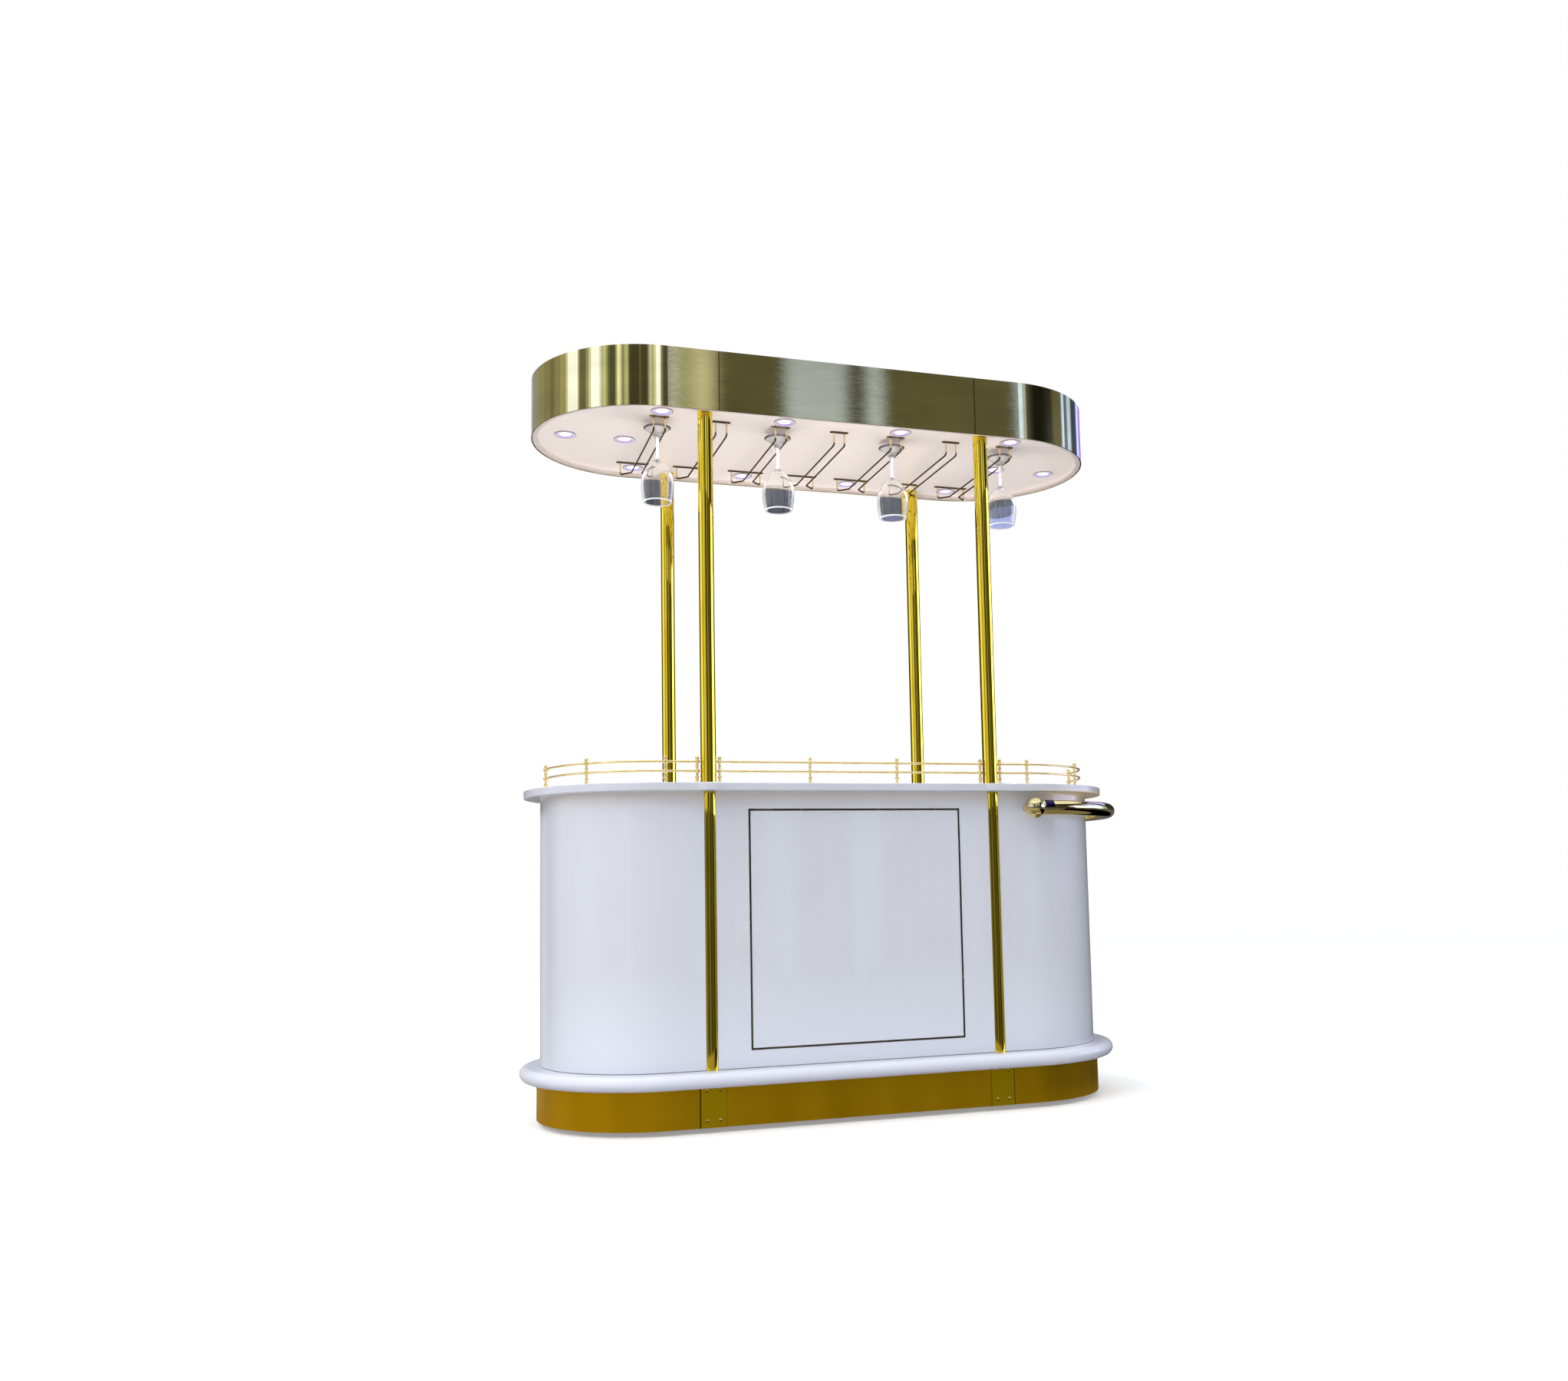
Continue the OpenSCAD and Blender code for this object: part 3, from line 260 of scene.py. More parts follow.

# %% [markdown]
# The collar of each ball elbow has a painted blue-black reflection on its upper side, with a bright
# ring of brass at its end towards the ball. It could be a solid with a finish of its own, but it is
# the same casting, so the colour changes by the place along the cart. Its underside stays brass.

# %% Handle brass
BALL_X, COLLAR_FROM, COLLAR_TO = 0.519, 0.0255, 0.056
COLLAR_SOFT = 0.0012
# Blue-black of the painted reflection on the collar's upper side
COLLAR_REFLECTION_BLUE = (0.02, 0.012, 0.09)


def handle_finish():
    brass = polished_brass("polished_brass_handle", (0.80, 0.68, 0.32), (0.90, 0.80, 0.46), 0.05)
    collar = brass.within(brass.along(), BALL_X + (COLLAR_FROM + COLLAR_TO) / 2,
                          (COLLAR_TO - COLLAR_FROM) / 2 - COLLAR_SOFT, COLLAR_SOFT)
    upper = brass.spread(brass.upward(), -0.25, 0.1, 0, 1)
    # Painted dark reflection: blue-black on the collar's upper side only.
    dark_reflection = brass.math("MULTIPLY", collar, upper)
    brass.link(brass.tint(dark_reflection, brass.colour, COLLAR_REFLECTION_BLUE), "Base Color")
    return brass.material


print(handle_finish().name, "with collars", round((COLLAR_TO - COLLAR_FROM) * 1000, 1), "mm long")

# %% [markdown]
# The wires of the racks are thin rods of the same brass, with a painted dark brown reflection where
# the feet of the glasses slide, and still bright where they rise to the ceiling. The small plates
# that hold them there are painted dark brown too. Height alone tells these places apart.

# %% Rack brass
WIRE_Z, PLATE_Z = (corner[2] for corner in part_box("rack_centre"))
# Dark brown painted on the low wires as a reflection, and on the plates
RACK_PAINTED_DARK = (0.13, 0.075, 0.022)


def rack_finish():
    brass = polished_brass("polished_brass_rack", (0.70, 0.55, 0.24), (0.88, 0.73, 0.42), 0.15)
    # Painted dark reflection on the low wires, and the plates painted dark brown too.
    low_wire_reflection = brass.spread(brass.height(), WIRE_Z + 0.006, WIRE_Z + 0.011, 1, 0)
    plates = brass.spread(brass.height(), PLATE_Z - 0.0035, PLATE_Z - 0.003, 0, 0.8)
    painted_dark = brass.math("MAXIMUM", low_wire_reflection, plates)
    brass.link(brass.tint(painted_dark, brass.colour, RACK_PAINTED_DARK), "Base Color")
    return brass.material


print(rack_finish().name, "with wires at", round(WIRE_Z, 4))

# %% [markdown]
# ## Satin brass of the plinth
# The kick skirt is softer and yellower: rolled sheet, brushed upright and dulled by shoes. It gets
# wide upright clouds of tone, a fine grain, and scuffs that grow towards the floor. The straps over
# its joints stand only two millimetres proud, which a light from the front hardly shows. So a
# lighter tone and painted shade lines at their edges bring them out, and their screw heads get a
# painted highlight on top and painted shade below.
# The thin inlay of the front panel is made by the polished recipe in dark brown tones.

# %% Skirt and inlay brass
STRAP_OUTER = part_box("skirt_straps")[1].x - MIDDLE_X
STRAP_WIDE = 0.070
STRAP_INNER = STRAP_OUTER - STRAP_WIDE


def satin_brass():
    brass = Finish("satin_brass_plinth", metallic=1.0, anisotropic=0.4)
    clouds = brass.noise((7, 7, 1.2), 3)
    grain = brass.noise((900, 900, 500), 2)
    tone = brass.math("MULTIPLY_ADD", grain, 0.35, clouds)
    sheet = brass.tint(brass.spread(tone, 0.45, 0.9, 0, 1), (0.80, 0.46, 0.004), (1.0, 0.60, 0.012))
    strap = brass.within(brass.along(), (STRAP_OUTER + STRAP_INNER) / 2, STRAP_WIDE / 2, 0.0004)
    front = brass.tint(strap, sheet, (0.88, 0.60, 0.006))
    # Painted shade on faces that turn down, such as the undersides of the screw heads.
    screw_painted_shade = brass.spread(brass.upward(), -0.30, -0.10, 1, 0)
    front = brass.tint(screw_painted_shade, front, (0.05, 0.03, 0.005))
    # Painted highlight on faces that turn up, such as the tops of the screw heads.
    screw_painted_highlight = brass.spread(brass.upward(), 0.10, 0.35, 0, 1)
    front = brass.tint(screw_painted_highlight, front, (1.0, 0.92, 0.50))
    # Painted shade lines along the edges of the straps.
    outer_edge_shade = brass.within(brass.along(), STRAP_OUTER, 0.0008, 0.0012)
    inner_edge_shade = brass.within(brass.along(), STRAP_INNER, 0.0004, 0.001)
    strap_edge_shades = brass.math("MAXIMUM", outer_edge_shade, brass.math("MULTIPLY", 0.4, inner_edge_shade))
    brass.link(brass.tint(strap_edge_shades, front, (0.10, 0.055, 0.01)), "Base Color")
    scuffs = brass.noise((60, 60, 160), 6, 0.7)
    low_down = brass.spread(brass.height(), 0.015, 0.06, 0.42, 0.30)
    brass.link(brass.math("MULTIPLY_ADD", scuffs, 0.15, low_down), "Roughness")
    brass.relief(grain, 0.00002)
    return brass.material


skirt_brass = satin_brass()
polished_brass("inlay_brass", (0.20, 0.16, 0.13), (0.30, 0.24, 0.19), 0.25)
print(skirt_brass.name, "with straps from", round(STRAP_INNER, 3), "to", round(STRAP_OUTER, 3))

# %% [markdown]
# ## White lacquer, counter and ledge
# The body panels are sprayed and polished: a cool white under a clear coat that has the faint
# ripple of sprayed lacquer. The counter and the ledge are the same white with a softer shine, the
# ceiling is warmer, and the boards inside are plain. One plain white would do for none of them, but
# one recipe does for all, with its own tones and shine for each.

# %% White finishes
def white_paint(name, dark, light, rough, coat, ripple=0.00001, coat_rough=0.06):
    """White from dark to light tones; ripple is the depth of the sprayed skin in metres."""
    paint = Finish(name, roughness=rough, coat_weight=coat, coat_roughness=coat_rough)
    clouds = paint.noise((3, 3, 1.5), 3)
    peel = paint.noise((160, 160, 160), 2)
    paint.colour = paint.tint(paint.spread(clouds, 0.3, 0.7, 0, 1), dark, light)
    paint.link(paint.colour, "Base Color")
    paint.relief(peel, ripple)
    return paint


body_lacquer = white_paint("white_lacquer", (0.56, 0.575, 0.63), (0.59, 0.605, 0.66),
                           0.30, 1.0, coat_rough=0.12)
counter_white = white_paint("white_counter", (0.52, 0.53, 0.59), (0.56, 0.57, 0.63), 0.32, 0.35)
ledge_white = white_paint("white_ledge", (0.62, 0.64, 0.74), (0.66, 0.68, 0.78), 0.35, 0.3)
ceiling_cream = white_paint("ceiling_paint", (0.94, 0.83, 0.77), (0.96, 0.86, 0.80), 0.30, 0.8)
board_white = white_paint("white_board", (0.74, 0.74, 0.72), (0.80, 0.80, 0.78), 0.5, 0.0,
                          ripple=0.00003)
print("five whites, from", body_lacquer.material.name, "to", board_white.material.name)

# %% [markdown]
# The ledge's bullnose edge is bright on top and dim underneath, where little light reaches it. The
# strip round the ceiling hangs lower than the lights, so it is a little darker than the ceiling.
# More lamps could make both shades, but they would light the body as well, so the paint has them.

# %% Shade on the ledge and the ceiling's rim
RIM_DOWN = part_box("canopy_rim")[0][2]


def ledge_shade(paint, underside, top):
    facing = paint.spread(paint.upward(), -0.7, 0.8, 0, 1)
    bright = paint.tint(0.5, paint.colour, top)
    paint.link(paint.tint(facing, underside, bright), "Base Color")


def rim_shade(paint, shade):
    low = paint.spread(paint.height(), RIM_DOWN + 0.0005, RIM_DOWN + 0.0080, 1, 0)
    paint.link(paint.tint(low, paint.colour, shade), "Base Color")


ledge_shade(ledge_white, (0.46, 0.48, 0.58), (0.86, 0.87, 0.94))
rim_shade(ceiling_cream, (0.70, 0.60, 0.56))
print("the ceiling's rim hangs at", round(RIM_DOWN, 4))

# %% [markdown]
# Under the overhang of the counter the lacquer has a painted shade in a warm tone, with the warm
# painted reflection of the counter's underside. It fades out a few centimetres below the counter,
# and turns to gold at the right end, a painted reflection of the polished handle. The lacquer also
# has faint upright streaks that are painted reflections, is lighter near the ledge by painted
# light, and ends in thin dark joints at the ledge and the counter. A picture wrapped round the body
# could hold all this, but height, place and a little noise say it in a few lines.

# %% Painted light, shade and joints of the body and the counter's edge
COUNTER_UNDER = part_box("countertop")[0][2]
LEDGE_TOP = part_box("bumper_ledge")[1][2]


def body_light_and_joints(paint, lit_tone, line):
    """Painted reflections as faint upright streaks, painted light near the ledge, and dark joints
    at the counter and the ledge.
    """
    # Painted reflections as faint upright streaks, and painted light towards the ledge.
    streak_reflections = paint.spread(paint.noise((11, 11, 0.4), 3), 0.35, 0.7, 0, 0.35)
    foot = paint.spread(paint.height(), LEDGE_TOP, LEDGE_TOP + 0.30, 1, 0)
    painted_light = paint.math("MAXIMUM", streak_reflections, foot)
    ledge_joint = paint.spread(paint.height(), LEDGE_TOP + 0.0010, LEDGE_TOP + 0.0028, 1, 0)
    counter_joint = paint.spread(paint.height(), COUNTER_UNDER - 0.0045, COUNTER_UNDER - 0.0020,
                                 0, 1)
    joint = paint.math("MAXIMUM", ledge_joint, counter_joint)
    paint.colour = paint.tint(joint, paint.tint(painted_light, paint.colour, lit_tone), line)


def shade_under_counter(paint, warm, gold):
    """Painted shade in a warm tone close under the counter, and a painted gold reflection of the
    handle in place of it at the right end.
    """
    # Painted shade under the counter, and at the right end a painted reflection of the handle.
    near = paint.spread(paint.height(), COUNTER_UNDER - 0.060, COUNTER_UNDER - 0.004, 0, 1)
    near = paint.math("POWER", near, 1.6)
    right_end = paint.spread(paint.coordinate(0), 0.50, 0.62, 0, 1)
    under = paint.spread(paint.height(), COUNTER_UNDER - 0.045, COUNTER_UNDER, 0, 1)
    under = paint.math("MULTIPLY", right_end, under)
    paint.link(paint.tint(under, paint.tint(near, paint.colour, warm), gold), "Base Color")


def handle_reflection_on_counter(paint, gold):
    """A painted gold reflection of the brass handle on the right end of the counter's edge."""
    # Painted gold reflection of the handle on the counter's edge.
    right_end = paint.spread(paint.coordinate(0), 0.50, 0.72, 0, 1)
    low = paint.spread(paint.height(), COUNTER_UNDER, COUNTER_UNDER + 0.014, 1, 0)
    reflected_light = paint.math("MULTIPLY", right_end, low)
    paint.link(paint.tint(reflected_light, paint.colour, gold), "Base Color")


# Painted light near the ledge, painted streak reflections, and dark joints
body_light_and_joints(body_lacquer, (0.66, 0.70, 0.79), (0.16, 0.13, 0.12))
# Painted warm shade under the counter and painted gold reflection of the handle
shade_under_counter(body_lacquer, (0.62, 0.57, 0.54), (0.92, 0.78, 0.56))
# Painted gold reflection of the handle on the counter
handle_reflection_on_counter(counter_white, (0.82, 0.68, 0.48))
print("warm band under", round(COUNTER_UNDER, 3), "m, lighter foot from", round(LEDGE_TOP, 3), "m")

# %% [markdown]
# ## Timber, steel, rubber and plastic
# What the skirt and the canopy hide still has its own stuff: birch ply with its grain, zinc-plated
# steel with its spangle, grey rubber tyres with dust in them, and a moulded plastic box. The ply
# bends wavy rings into its grain. The other three differ only in the size and depth of their
# grains, so they share a recipe.

# %% Hidden materials
def plywood():
    wood = Finish("plywood", roughness=0.55)
    grain = wood.noise((2, 60, 60), 6, 0.6)
    rings = wood.add("TexWave", "Fac", {"bands_direction": "Y"},
                     Vector=wood.stretched((0.6, 1, 1)), Scale=14.0, Distortion=9.0, Detail=3.0)
    tone = wood.spread(wood.math("MULTIPLY_ADD", rings, 0.3, grain), 0.3, 0.95, 0, 1)
    wood.link(wood.tint(tone, (0.44, 0.29, 0.15), (0.72, 0.55, 0.34)), "Base Color")
    wood.relief(grain, 0.0002)
    return wood.material


def mottled(name, dark, light, rough, metal, grain_scale, depth):
    stuff = Finish(name, metallic=metal)
    grains = stuff.noise((grain_scale,) * 3, 4, 0.6)
    stuff.link(stuff.tint(stuff.spread(grains, 0.35, 0.65, 0, 1), dark, light), "Base Color")
    stuff.link(stuff.spread(grains, 0.3, 0.7, rough, rough + 0.15), "Roughness")
    stuff.relief(grains, depth)
    return stuff.material


birch_ply = plywood()
zinc = mottled("zinc_steel", (0.50, 0.52, 0.54), (0.68, 0.69, 0.70), 0.25, 1.0, 90, 0.00001)
rubber = mottled("grey_rubber", (0.10, 0.10, 0.10), (0.17, 0.17, 0.165), 0.6, 0.0, 300, 0.0001)
plastic = mottled("grey_plastic", (0.40, 0.40, 0.41), (0.46, 0.46, 0.47), 0.4, 0.0, 700, 0.00005)
print(birch_ply.name, zinc.name, rubber.name, plastic.name)

# %% [markdown]
# ## Downlights
# Each downlight is a frosted disc with a lamp behind it, in a pale bezel. The lamp's cheap white
# diode leaks violet at the rim of the disc. On the bezel that violet is painted light, a ring, and
# the bezel's outer edge has a painted shade. Each could have a material of its own, but all twelve
# share one, so the distance to the nearest lamp is worked out from a list of their places, folded
# on to one quarter of the canopy.

# %% Glowing lens and bezel
PITCH = 0.175
LIGHTS = [(PITCH, 0.260), (3 * PITCH, 0.260), (0.590, 0.0), (0.760, 0.0)]
# Distances from the middle of a downlight
LENS_CLEAR, LENS_VIOLET, BEZEL_INNER, BEZEL_OUTER = 0.0150, 0.0185, 0.0215, 0.0305


def from_nearest_light(finish):
    across = finish.math("ABSOLUTE", finish.coordinate(1))
    folded = finish.add("CombineXYZ", X=finish.along(), Y=across)
    nearest = 1.0
    for x, y in LIGHTS:
        away = finish.add("VectorMath", "Value", {"operation": "DISTANCE"}, i0=folded, i1=(x, y, 0))
        nearest = finish.math("MINIMUM", nearest, away)
    return nearest


def lit_lens():
    lens = Finish("lens_diffuser", colour=(0.6, 0.5, 0.9), roughness=0.4)
    rim = lens.spread(from_nearest_light(lens), LENS_CLEAR, LENS_VIOLET, 0, 1)
    lens.link(lens.tint(rim, (1.0, 0.98, 1.0), (0.36, 0.24, 0.95)), "Emission Color")
    frost = lens.noise((500, 500, 500), 2)
    glow = lens.spread(frost, 0.3, 0.7, 1.9, 2.2)
    lens.link(lens.math("MULTIPLY_ADD", rim, -1.25, glow), "Emission Strength")
    return lens.material


def bezel_enamel():
    bezel = white_paint("white_metal", (0.76, 0.69, 0.70), (0.82, 0.75, 0.76), 0.25, 0.3)
    away = from_nearest_light(bezel)
    # Painted violet light in a ring on the bezel, and painted shade at its outer edge.
    ring = bezel.within(away, BEZEL_INNER, 0.0004, 0.0012)
    bezel_edge_shade = bezel.within(away, BEZEL_OUTER, 0.0012, 0.0010)
    pale = bezel.tint(bezel_edge_shade, bezel.colour, (0.36, 0.31, 0.40))
    bezel.link(bezel.tint(ring, pale, (0.40, 0.32, 0.86)), "Base Color")
    return bezel.material


print(lit_lens().name, "and", bezel_enamel().name)

# %% [markdown]
# ## Clear glass
# The glasses are thin blown lead-free crystal. Glass has no colour of its own at this thickness,
# so what makes it visible is the bright and dark edges that it bends from round about. A plain
# glass shader keeps those but is too clean, so some are painted here: the foot is made cloudy and
# warm grey with a painted shade at its edge, the stem has a painted violet reflection where it
# turns away, the bowl has a painted dark outline, the walls of the lower bowl have painted light,
# and the fire-polished lip of the mouth has a painted highlight as a ring.

# %% Glass
MOUTH_Z, FOOT_TOP = (corner[2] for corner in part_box("wine_glass_1"))


def clear_glass():
    """Each place on the glass has a mask from 0 to 1 that brings its tone and takes clearness."""
    glass = Finish("clear_glass", transmission_weight=1.0, ior=1.5)
    smears = glass.noise((40, 40, 40), 3)
    glass.link(glass.spread(smears, 0.55, 0.8, 0.0, 0.04), "Roughness")
    high, turned = glass.height(), glass.add("LayerWeight", "Facing", Blend=0.5)

    foot = glass.spread(high, FOOT_TOP - 0.030, FOOT_TOP - 0.014, 0, 1)
    upright = glass.spread(glass.math("ABSOLUTE", glass.upward()), 0.90, 0.97, 1, 0)
    foot_disc = glass.spread(high, FOOT_TOP - 0.0055, FOOT_TOP - 0.0040, 0, 1)
    # Painted shade at the foot's upright edge.
    foot_edge_shade = glass.math("MULTIPLY", upright, foot_disc)
    stem = glass.within(high, FOOT_TOP - 0.060, 0.028, 0.004)
    lower_bowl = glass.spread(high, MOUTH_Z + 0.076, MOUTH_Z + 0.084, 1, 0)
    # Painted light on the walls of the lower bowl, where they turn away.
    wall_light = glass.math("MULTIPLY", lower_bowl, glass.spread(turned, 0.44, 0.54, 0, 1))
    # Painted highlight: the lip of the mouth, as a ring.
    mouth_highlight = glass.spread(high, MOUTH_Z + 0.0036, MOUTH_Z + 0.0050, 1, 0)

    # Painted violet reflection where the stem turns away.
    stem_reflection = glass.spread(turned, 0.2, 0.7, 0, 1)
    stem_tone = glass.tint(stem_reflection, (1.0, 1.0, 1.0), (0.42, 0.36, 0.62))
    body = glass.tint(wall_light, (0.985, 0.99, 0.99), (0.97, 0.98, 1.0))
    # Painted dark outline where the bowl turns away.
    body = glass.tint(glass.spread(turned, 0.78, 0.95, 0, 0.75), body, (0.30, 0.28, 0.42))
    body = glass.tint(foot, glass.tint(stem, body, stem_tone), (0.95, 0.89, 0.83))
    body = glass.tint(mouth_highlight, body, (1.0, 1.0, 1.0))
    glass.link(glass.tint(foot_edge_shade, body, (0.16, 0.15, 0.18)), "Base Color")

    clear = glass.math("MULTIPLY_ADD", wall_light, -0.5, glass.spread(foot, 0, 1, 1.0, 0.5))
    clear = glass.math("MULTIPLY_ADD", stem, -0.3, clear)
    glass.link(glass.math("MULTIPLY_ADD", mouth_highlight, -0.85, clear), "Transmission Weight")
    return glass.material


crystal = clear_glass()
print(crystal.name, "from", round(MOUTH_Z, 4), "to", round(FOOT_TOP, 4))

# %% [markdown]
# ## Put the finishes on
# Each solid already has the right shape, so it keeps its mesh and only its material is changed. The
# record names a slot for each, and the slots have the finishes' names.

# %% Dress every solid
for part in frame["record"]["subparts"]:
    solid = nodes[part["node"]]
    solid.data.materials.clear()
    solid.data.materials.append(FINISHES[part["material_slot"]])

# %% [markdown]
# ## Wine glasses
# A glass is thrown round one axis, so one half outline, spun, gives all of it: the flat foot, the
# cone that rises into the stem, the stem, and a bowl that is widest low down and draws in to the
# rim. The solid from the CAD model has the same sizes and could stay. The new mesh replaces it
# because light bends through glass smoothly only where the mesh is fine.

# %% Half outline of a glass
# Radius and height over the foot, from the foot's edge to the rim of the bowl
OUTSIDE = [(0.0385, 0.0006), (0.0383, 0.0018), (0.0330, 0.0052), (0.0270, 0.0098), (0.0200, 0.0160),
           (0.0140, 0.0218), (0.0085, 0.0275), (0.0060, 0.0345), (0.0048, 0.044), (0.0041, 0.056),
           (0.0039, 0.070), (0.0042, 0.082), (0.0056, 0.0905), (0.0110, 0.0962), (0.0200, 0.1035),
           (0.0290, 0.1135), (0.0370, 0.1265), (0.0430, 0.1420), (0.0458, 0.1580), (0.0455, 0.1750),
           (0.0436, 0.1930), (0.0405, 0.2100), (0.0387, 0.2165)]
FOOT_UNDERSIDE = [(0.0, 0.0010), (0.020, 0.0006), (0.0375, 0.0)]
WALL = 0.0016
BOWL_FROM, BOWL_FLOOR = 0.097, 0.0993


def smooth_line(points, steps):
    """A Catmull-Rom curve through the points."""
    line = []
    for i in range(len(points) - 1):
        p0, p1 = points[max(i - 1, 0)], points[i]
        p2, p3 = points[i + 1], points[min(i + 2, len(points) - 1)]
        for k in range(steps):
            t = k / steps
            line.append(tuple(0.5 * (2 * b + (c - a) * t + (2 * a - 5 * b + 4 * c - d) * t * t
                                     + (3 * b - a - 3 * c + d) * t ** 3)
                              for a, b, c, d in zip(p0, p1, p2, p3)))
    return line + [points[-1]]


def inside_of(line):
    """The bowl's inner wall, the wall's thickness inside the outer one, from the rim down."""
    inner = []
    for i, (r, z) in enumerate(line):
        if z < BOWL_FROM:
            continue
        a, b = line[max(i - 1, 0)], line[min(i + 1, len(line) - 1)]
        along = Vector((b[0] - a[0], b[1] - a[1])).normalized()
        inner.append((max(r - along.y * WALL, 0.0), z + along.x * WALL))
    return inner[::-1] + [(0.0, BOWL_FLOOR)]


outer_line = smooth_line(OUTSIDE, 4)
glass_line = FOOT_UNDERSIDE + outer_line + inside_of(outer_line)
print(len(glass_line), "points in the half outline")

# %% [markdown]
# The outline could be spun by a Screw modifier, but in code a point on the axis stays one point, so
# the foot and the bottom of the bowl close cleanly. Each glass is turned upside down and hung where
# its solid hangs, and it slides with that solid's body.

# %% Spin the outline and hang the glasses
def spun(name, line, segments=72):
    mesh = bmesh.new()
    rings = []
    for r, z in line:
        if r < 1e-6:
            rings.append([mesh.verts.new((0, 0, z))])
        else:
            rings.append([mesh.verts.new((r * math.cos(math.tau * k / segments),
                                          r * math.sin(math.tau * k / segments), z))
                          for k in range(segments)])
    for low, high in zip(rings, rings[1:]):
        for k in range(segments):
            j = (k + 1) % segments
            if len(low) == 1:
                mesh.faces.new((low[0], high[j], high[k]))
            elif len(high) == 1:
                mesh.faces.new((low[k], low[j], high[0]))
            else:
                mesh.faces.new((low[k], low[j], high[j], high[k]))
    bmesh.ops.recalc_face_normals(mesh, faces=mesh.faces)
    data = bpy.data.meshes.new(name)
    mesh.to_mesh(data)
    mesh.free()
    data.polygons.foreach_set("use_smooth", [True] * len(data.polygons))
    piece = bpy.data.objects.new(name, data)
    bpy.context.scene.collection.objects.link(piece)
    return piece


for number in range(1, 5):
    low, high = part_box("wine_glass_%d" % number)
    hung_at = Matrix.Translation(((low[0] + high[0]) / 2, (low[1] + high[1]) / 2, high[2]))
    glass = spun("blown_glass_%d" % number, glass_line)
    glass.data.transform(hung_at @ Matrix.Rotation(math.pi, 4, "X"))
    glass.data.materials.append(crystal)
    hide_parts("wine_glass_%d" % number)
    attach(glass, "glass_%d" % number)
    print(glass.name, "hangs from", round(high[2], 4), "m; CAD height", round(high[2] - low[2], 4))

# %% [markdown]
# ## Floor, world and lamps
# A plain white floor and world stand in for the studio. The camera, and whatever the metal and the
# glass show, sees the world at full white, while the light that falls on the cart is softer. One
# strength for both would either turn the background grey or bleach the lacquer.

# %% World
LIGHT_COLOUR, LIGHT_STRENGTH = (0.93, 0.96, 1.0, 1), 0.45


def studio_world():
    world = bpy.data.worlds.new("studio")
    world.use_nodes = True
    tree = world.node_tree
    tree.nodes.clear()
    output = tree.nodes.new("ShaderNodeOutputWorld")
    mix = tree.nodes.new("ShaderNodeMixShader")
    light = tree.nodes.new("ShaderNodeBackground")
    light.inputs["Color"].default_value = LIGHT_COLOUR
    light.inputs["Strength"].default_value = LIGHT_STRENGTH
    seen = tree.nodes.new("ShaderNodeBackground")
    seen.inputs["Color"].default_value = (1, 1, 1, 1)
    path = tree.nodes.new("ShaderNodeLightPath")
    first, second = (tree.nodes.new("ShaderNodeMath") for _ in range(2))
    for node in (first, second):
        node.operation = "MAXIMUM"
    tree.links.new(path.outputs["Is Camera Ray"], first.inputs[0])
    tree.links.new(path.outputs["Is Glossy Ray"], first.inputs[1])
    tree.links.new(first.outputs[0], second.inputs[0])
    tree.links.new(path.outputs["Is Transmission Ray"], second.inputs[1])
    tree.links.new(second.outputs[0], mix.inputs["Fac"])
    tree.links.new(light.outputs[0], mix.inputs[1])
    tree.links.new(seen.outputs[0], mix.inputs[2])
    tree.links.new(mix.outputs[0], output.inputs["Surface"])
    bpy.context.scene.world = world


studio_world()
bpy.context.scene.view_settings.view_transform = "Standard"
print("world set; its light is", LIGHT_STRENGTH, "of white")

# %% [markdown]
# The floor is pale paint. Its own share of light fills it up to white for the camera, so that it
# meets the white background without a horizon and still takes the cart's shadow. Metal doesn't
# show it, because the cards of the next section go on below it.

# %% Floor
FLOOR_HALF, FLOOR_FILL = 40.0, 0.28


def studio_floor():
    mesh = bmesh.new()
    bmesh.ops.create_grid(mesh, x_segments=1, y_segments=1, size=FLOOR_HALF)
    data = bpy.data.meshes.new("studio_floor")
    mesh.to_mesh(data)
    mesh.free()
    floor = bpy.data.objects.new("studio_floor", data)
    bpy.context.scene.collection.objects.link(floor)
    paint = Finish("floor_paint", roughness=0.9)
    paint.set("Specular IOR Level", 0.1)
    path = paint.tree.nodes.new("ShaderNodeLightPath")
    dust = paint.noise((2, 2, 2), 4)
    paint.link(paint.tint(dust, (0.85, 0.85, 0.85), (0.87, 0.87, 0.87)), "Base Color")
    paint.set("Emission Color", (1, 1, 1, 1))
    seen = paint.math("MAXIMUM", path.outputs["Is Camera Ray"],
                      path.outputs["Is Transmission Ray"])
    paint.link(paint.math("MULTIPLY", seen, FLOOR_FILL), "Emission Strength")
    data.materials.append(paint.material)
    floor.visible_glossy = False


studio_floor()
print("floor laid,", 2 * FLOOR_HALF, "m square")

# %% [markdown]
# Polished brass in an all-white room looks flat. Photographers stand tall dark cards round it, and
# leave gaps and bright strips between them, so that each tube shows dark and light lines and the
# brushed canopy shows tall streaks. Lamps could do this, but they would light the lacquer as well.
# Here six rings of cards stand one above the other and are seen by glossy rays only. From the
# camera's height the canopy mirrors the upper ring, the columns the middle one, the body the low
# one and the skirt the floor ring. The dark line above and the deep ring below close the room off.

# %% Tints and levels of the cards
TINTS = {"": (1.0, 1.0, 1.0), "warm": (1.07, 1.0, 0.75), "green": (0.95, 1.05, 0.75),
         "grey": (0.85, 1.0, 1.85), "white": (1.0, 1.06, 1.7), "sky": (0.8, 1.05, 2.2),
         "pink": (1.0, 0.42, 1.6), "blue": (0.6, 0.9, 5.0), "gold": (1.15, 0.98, 0.6)}
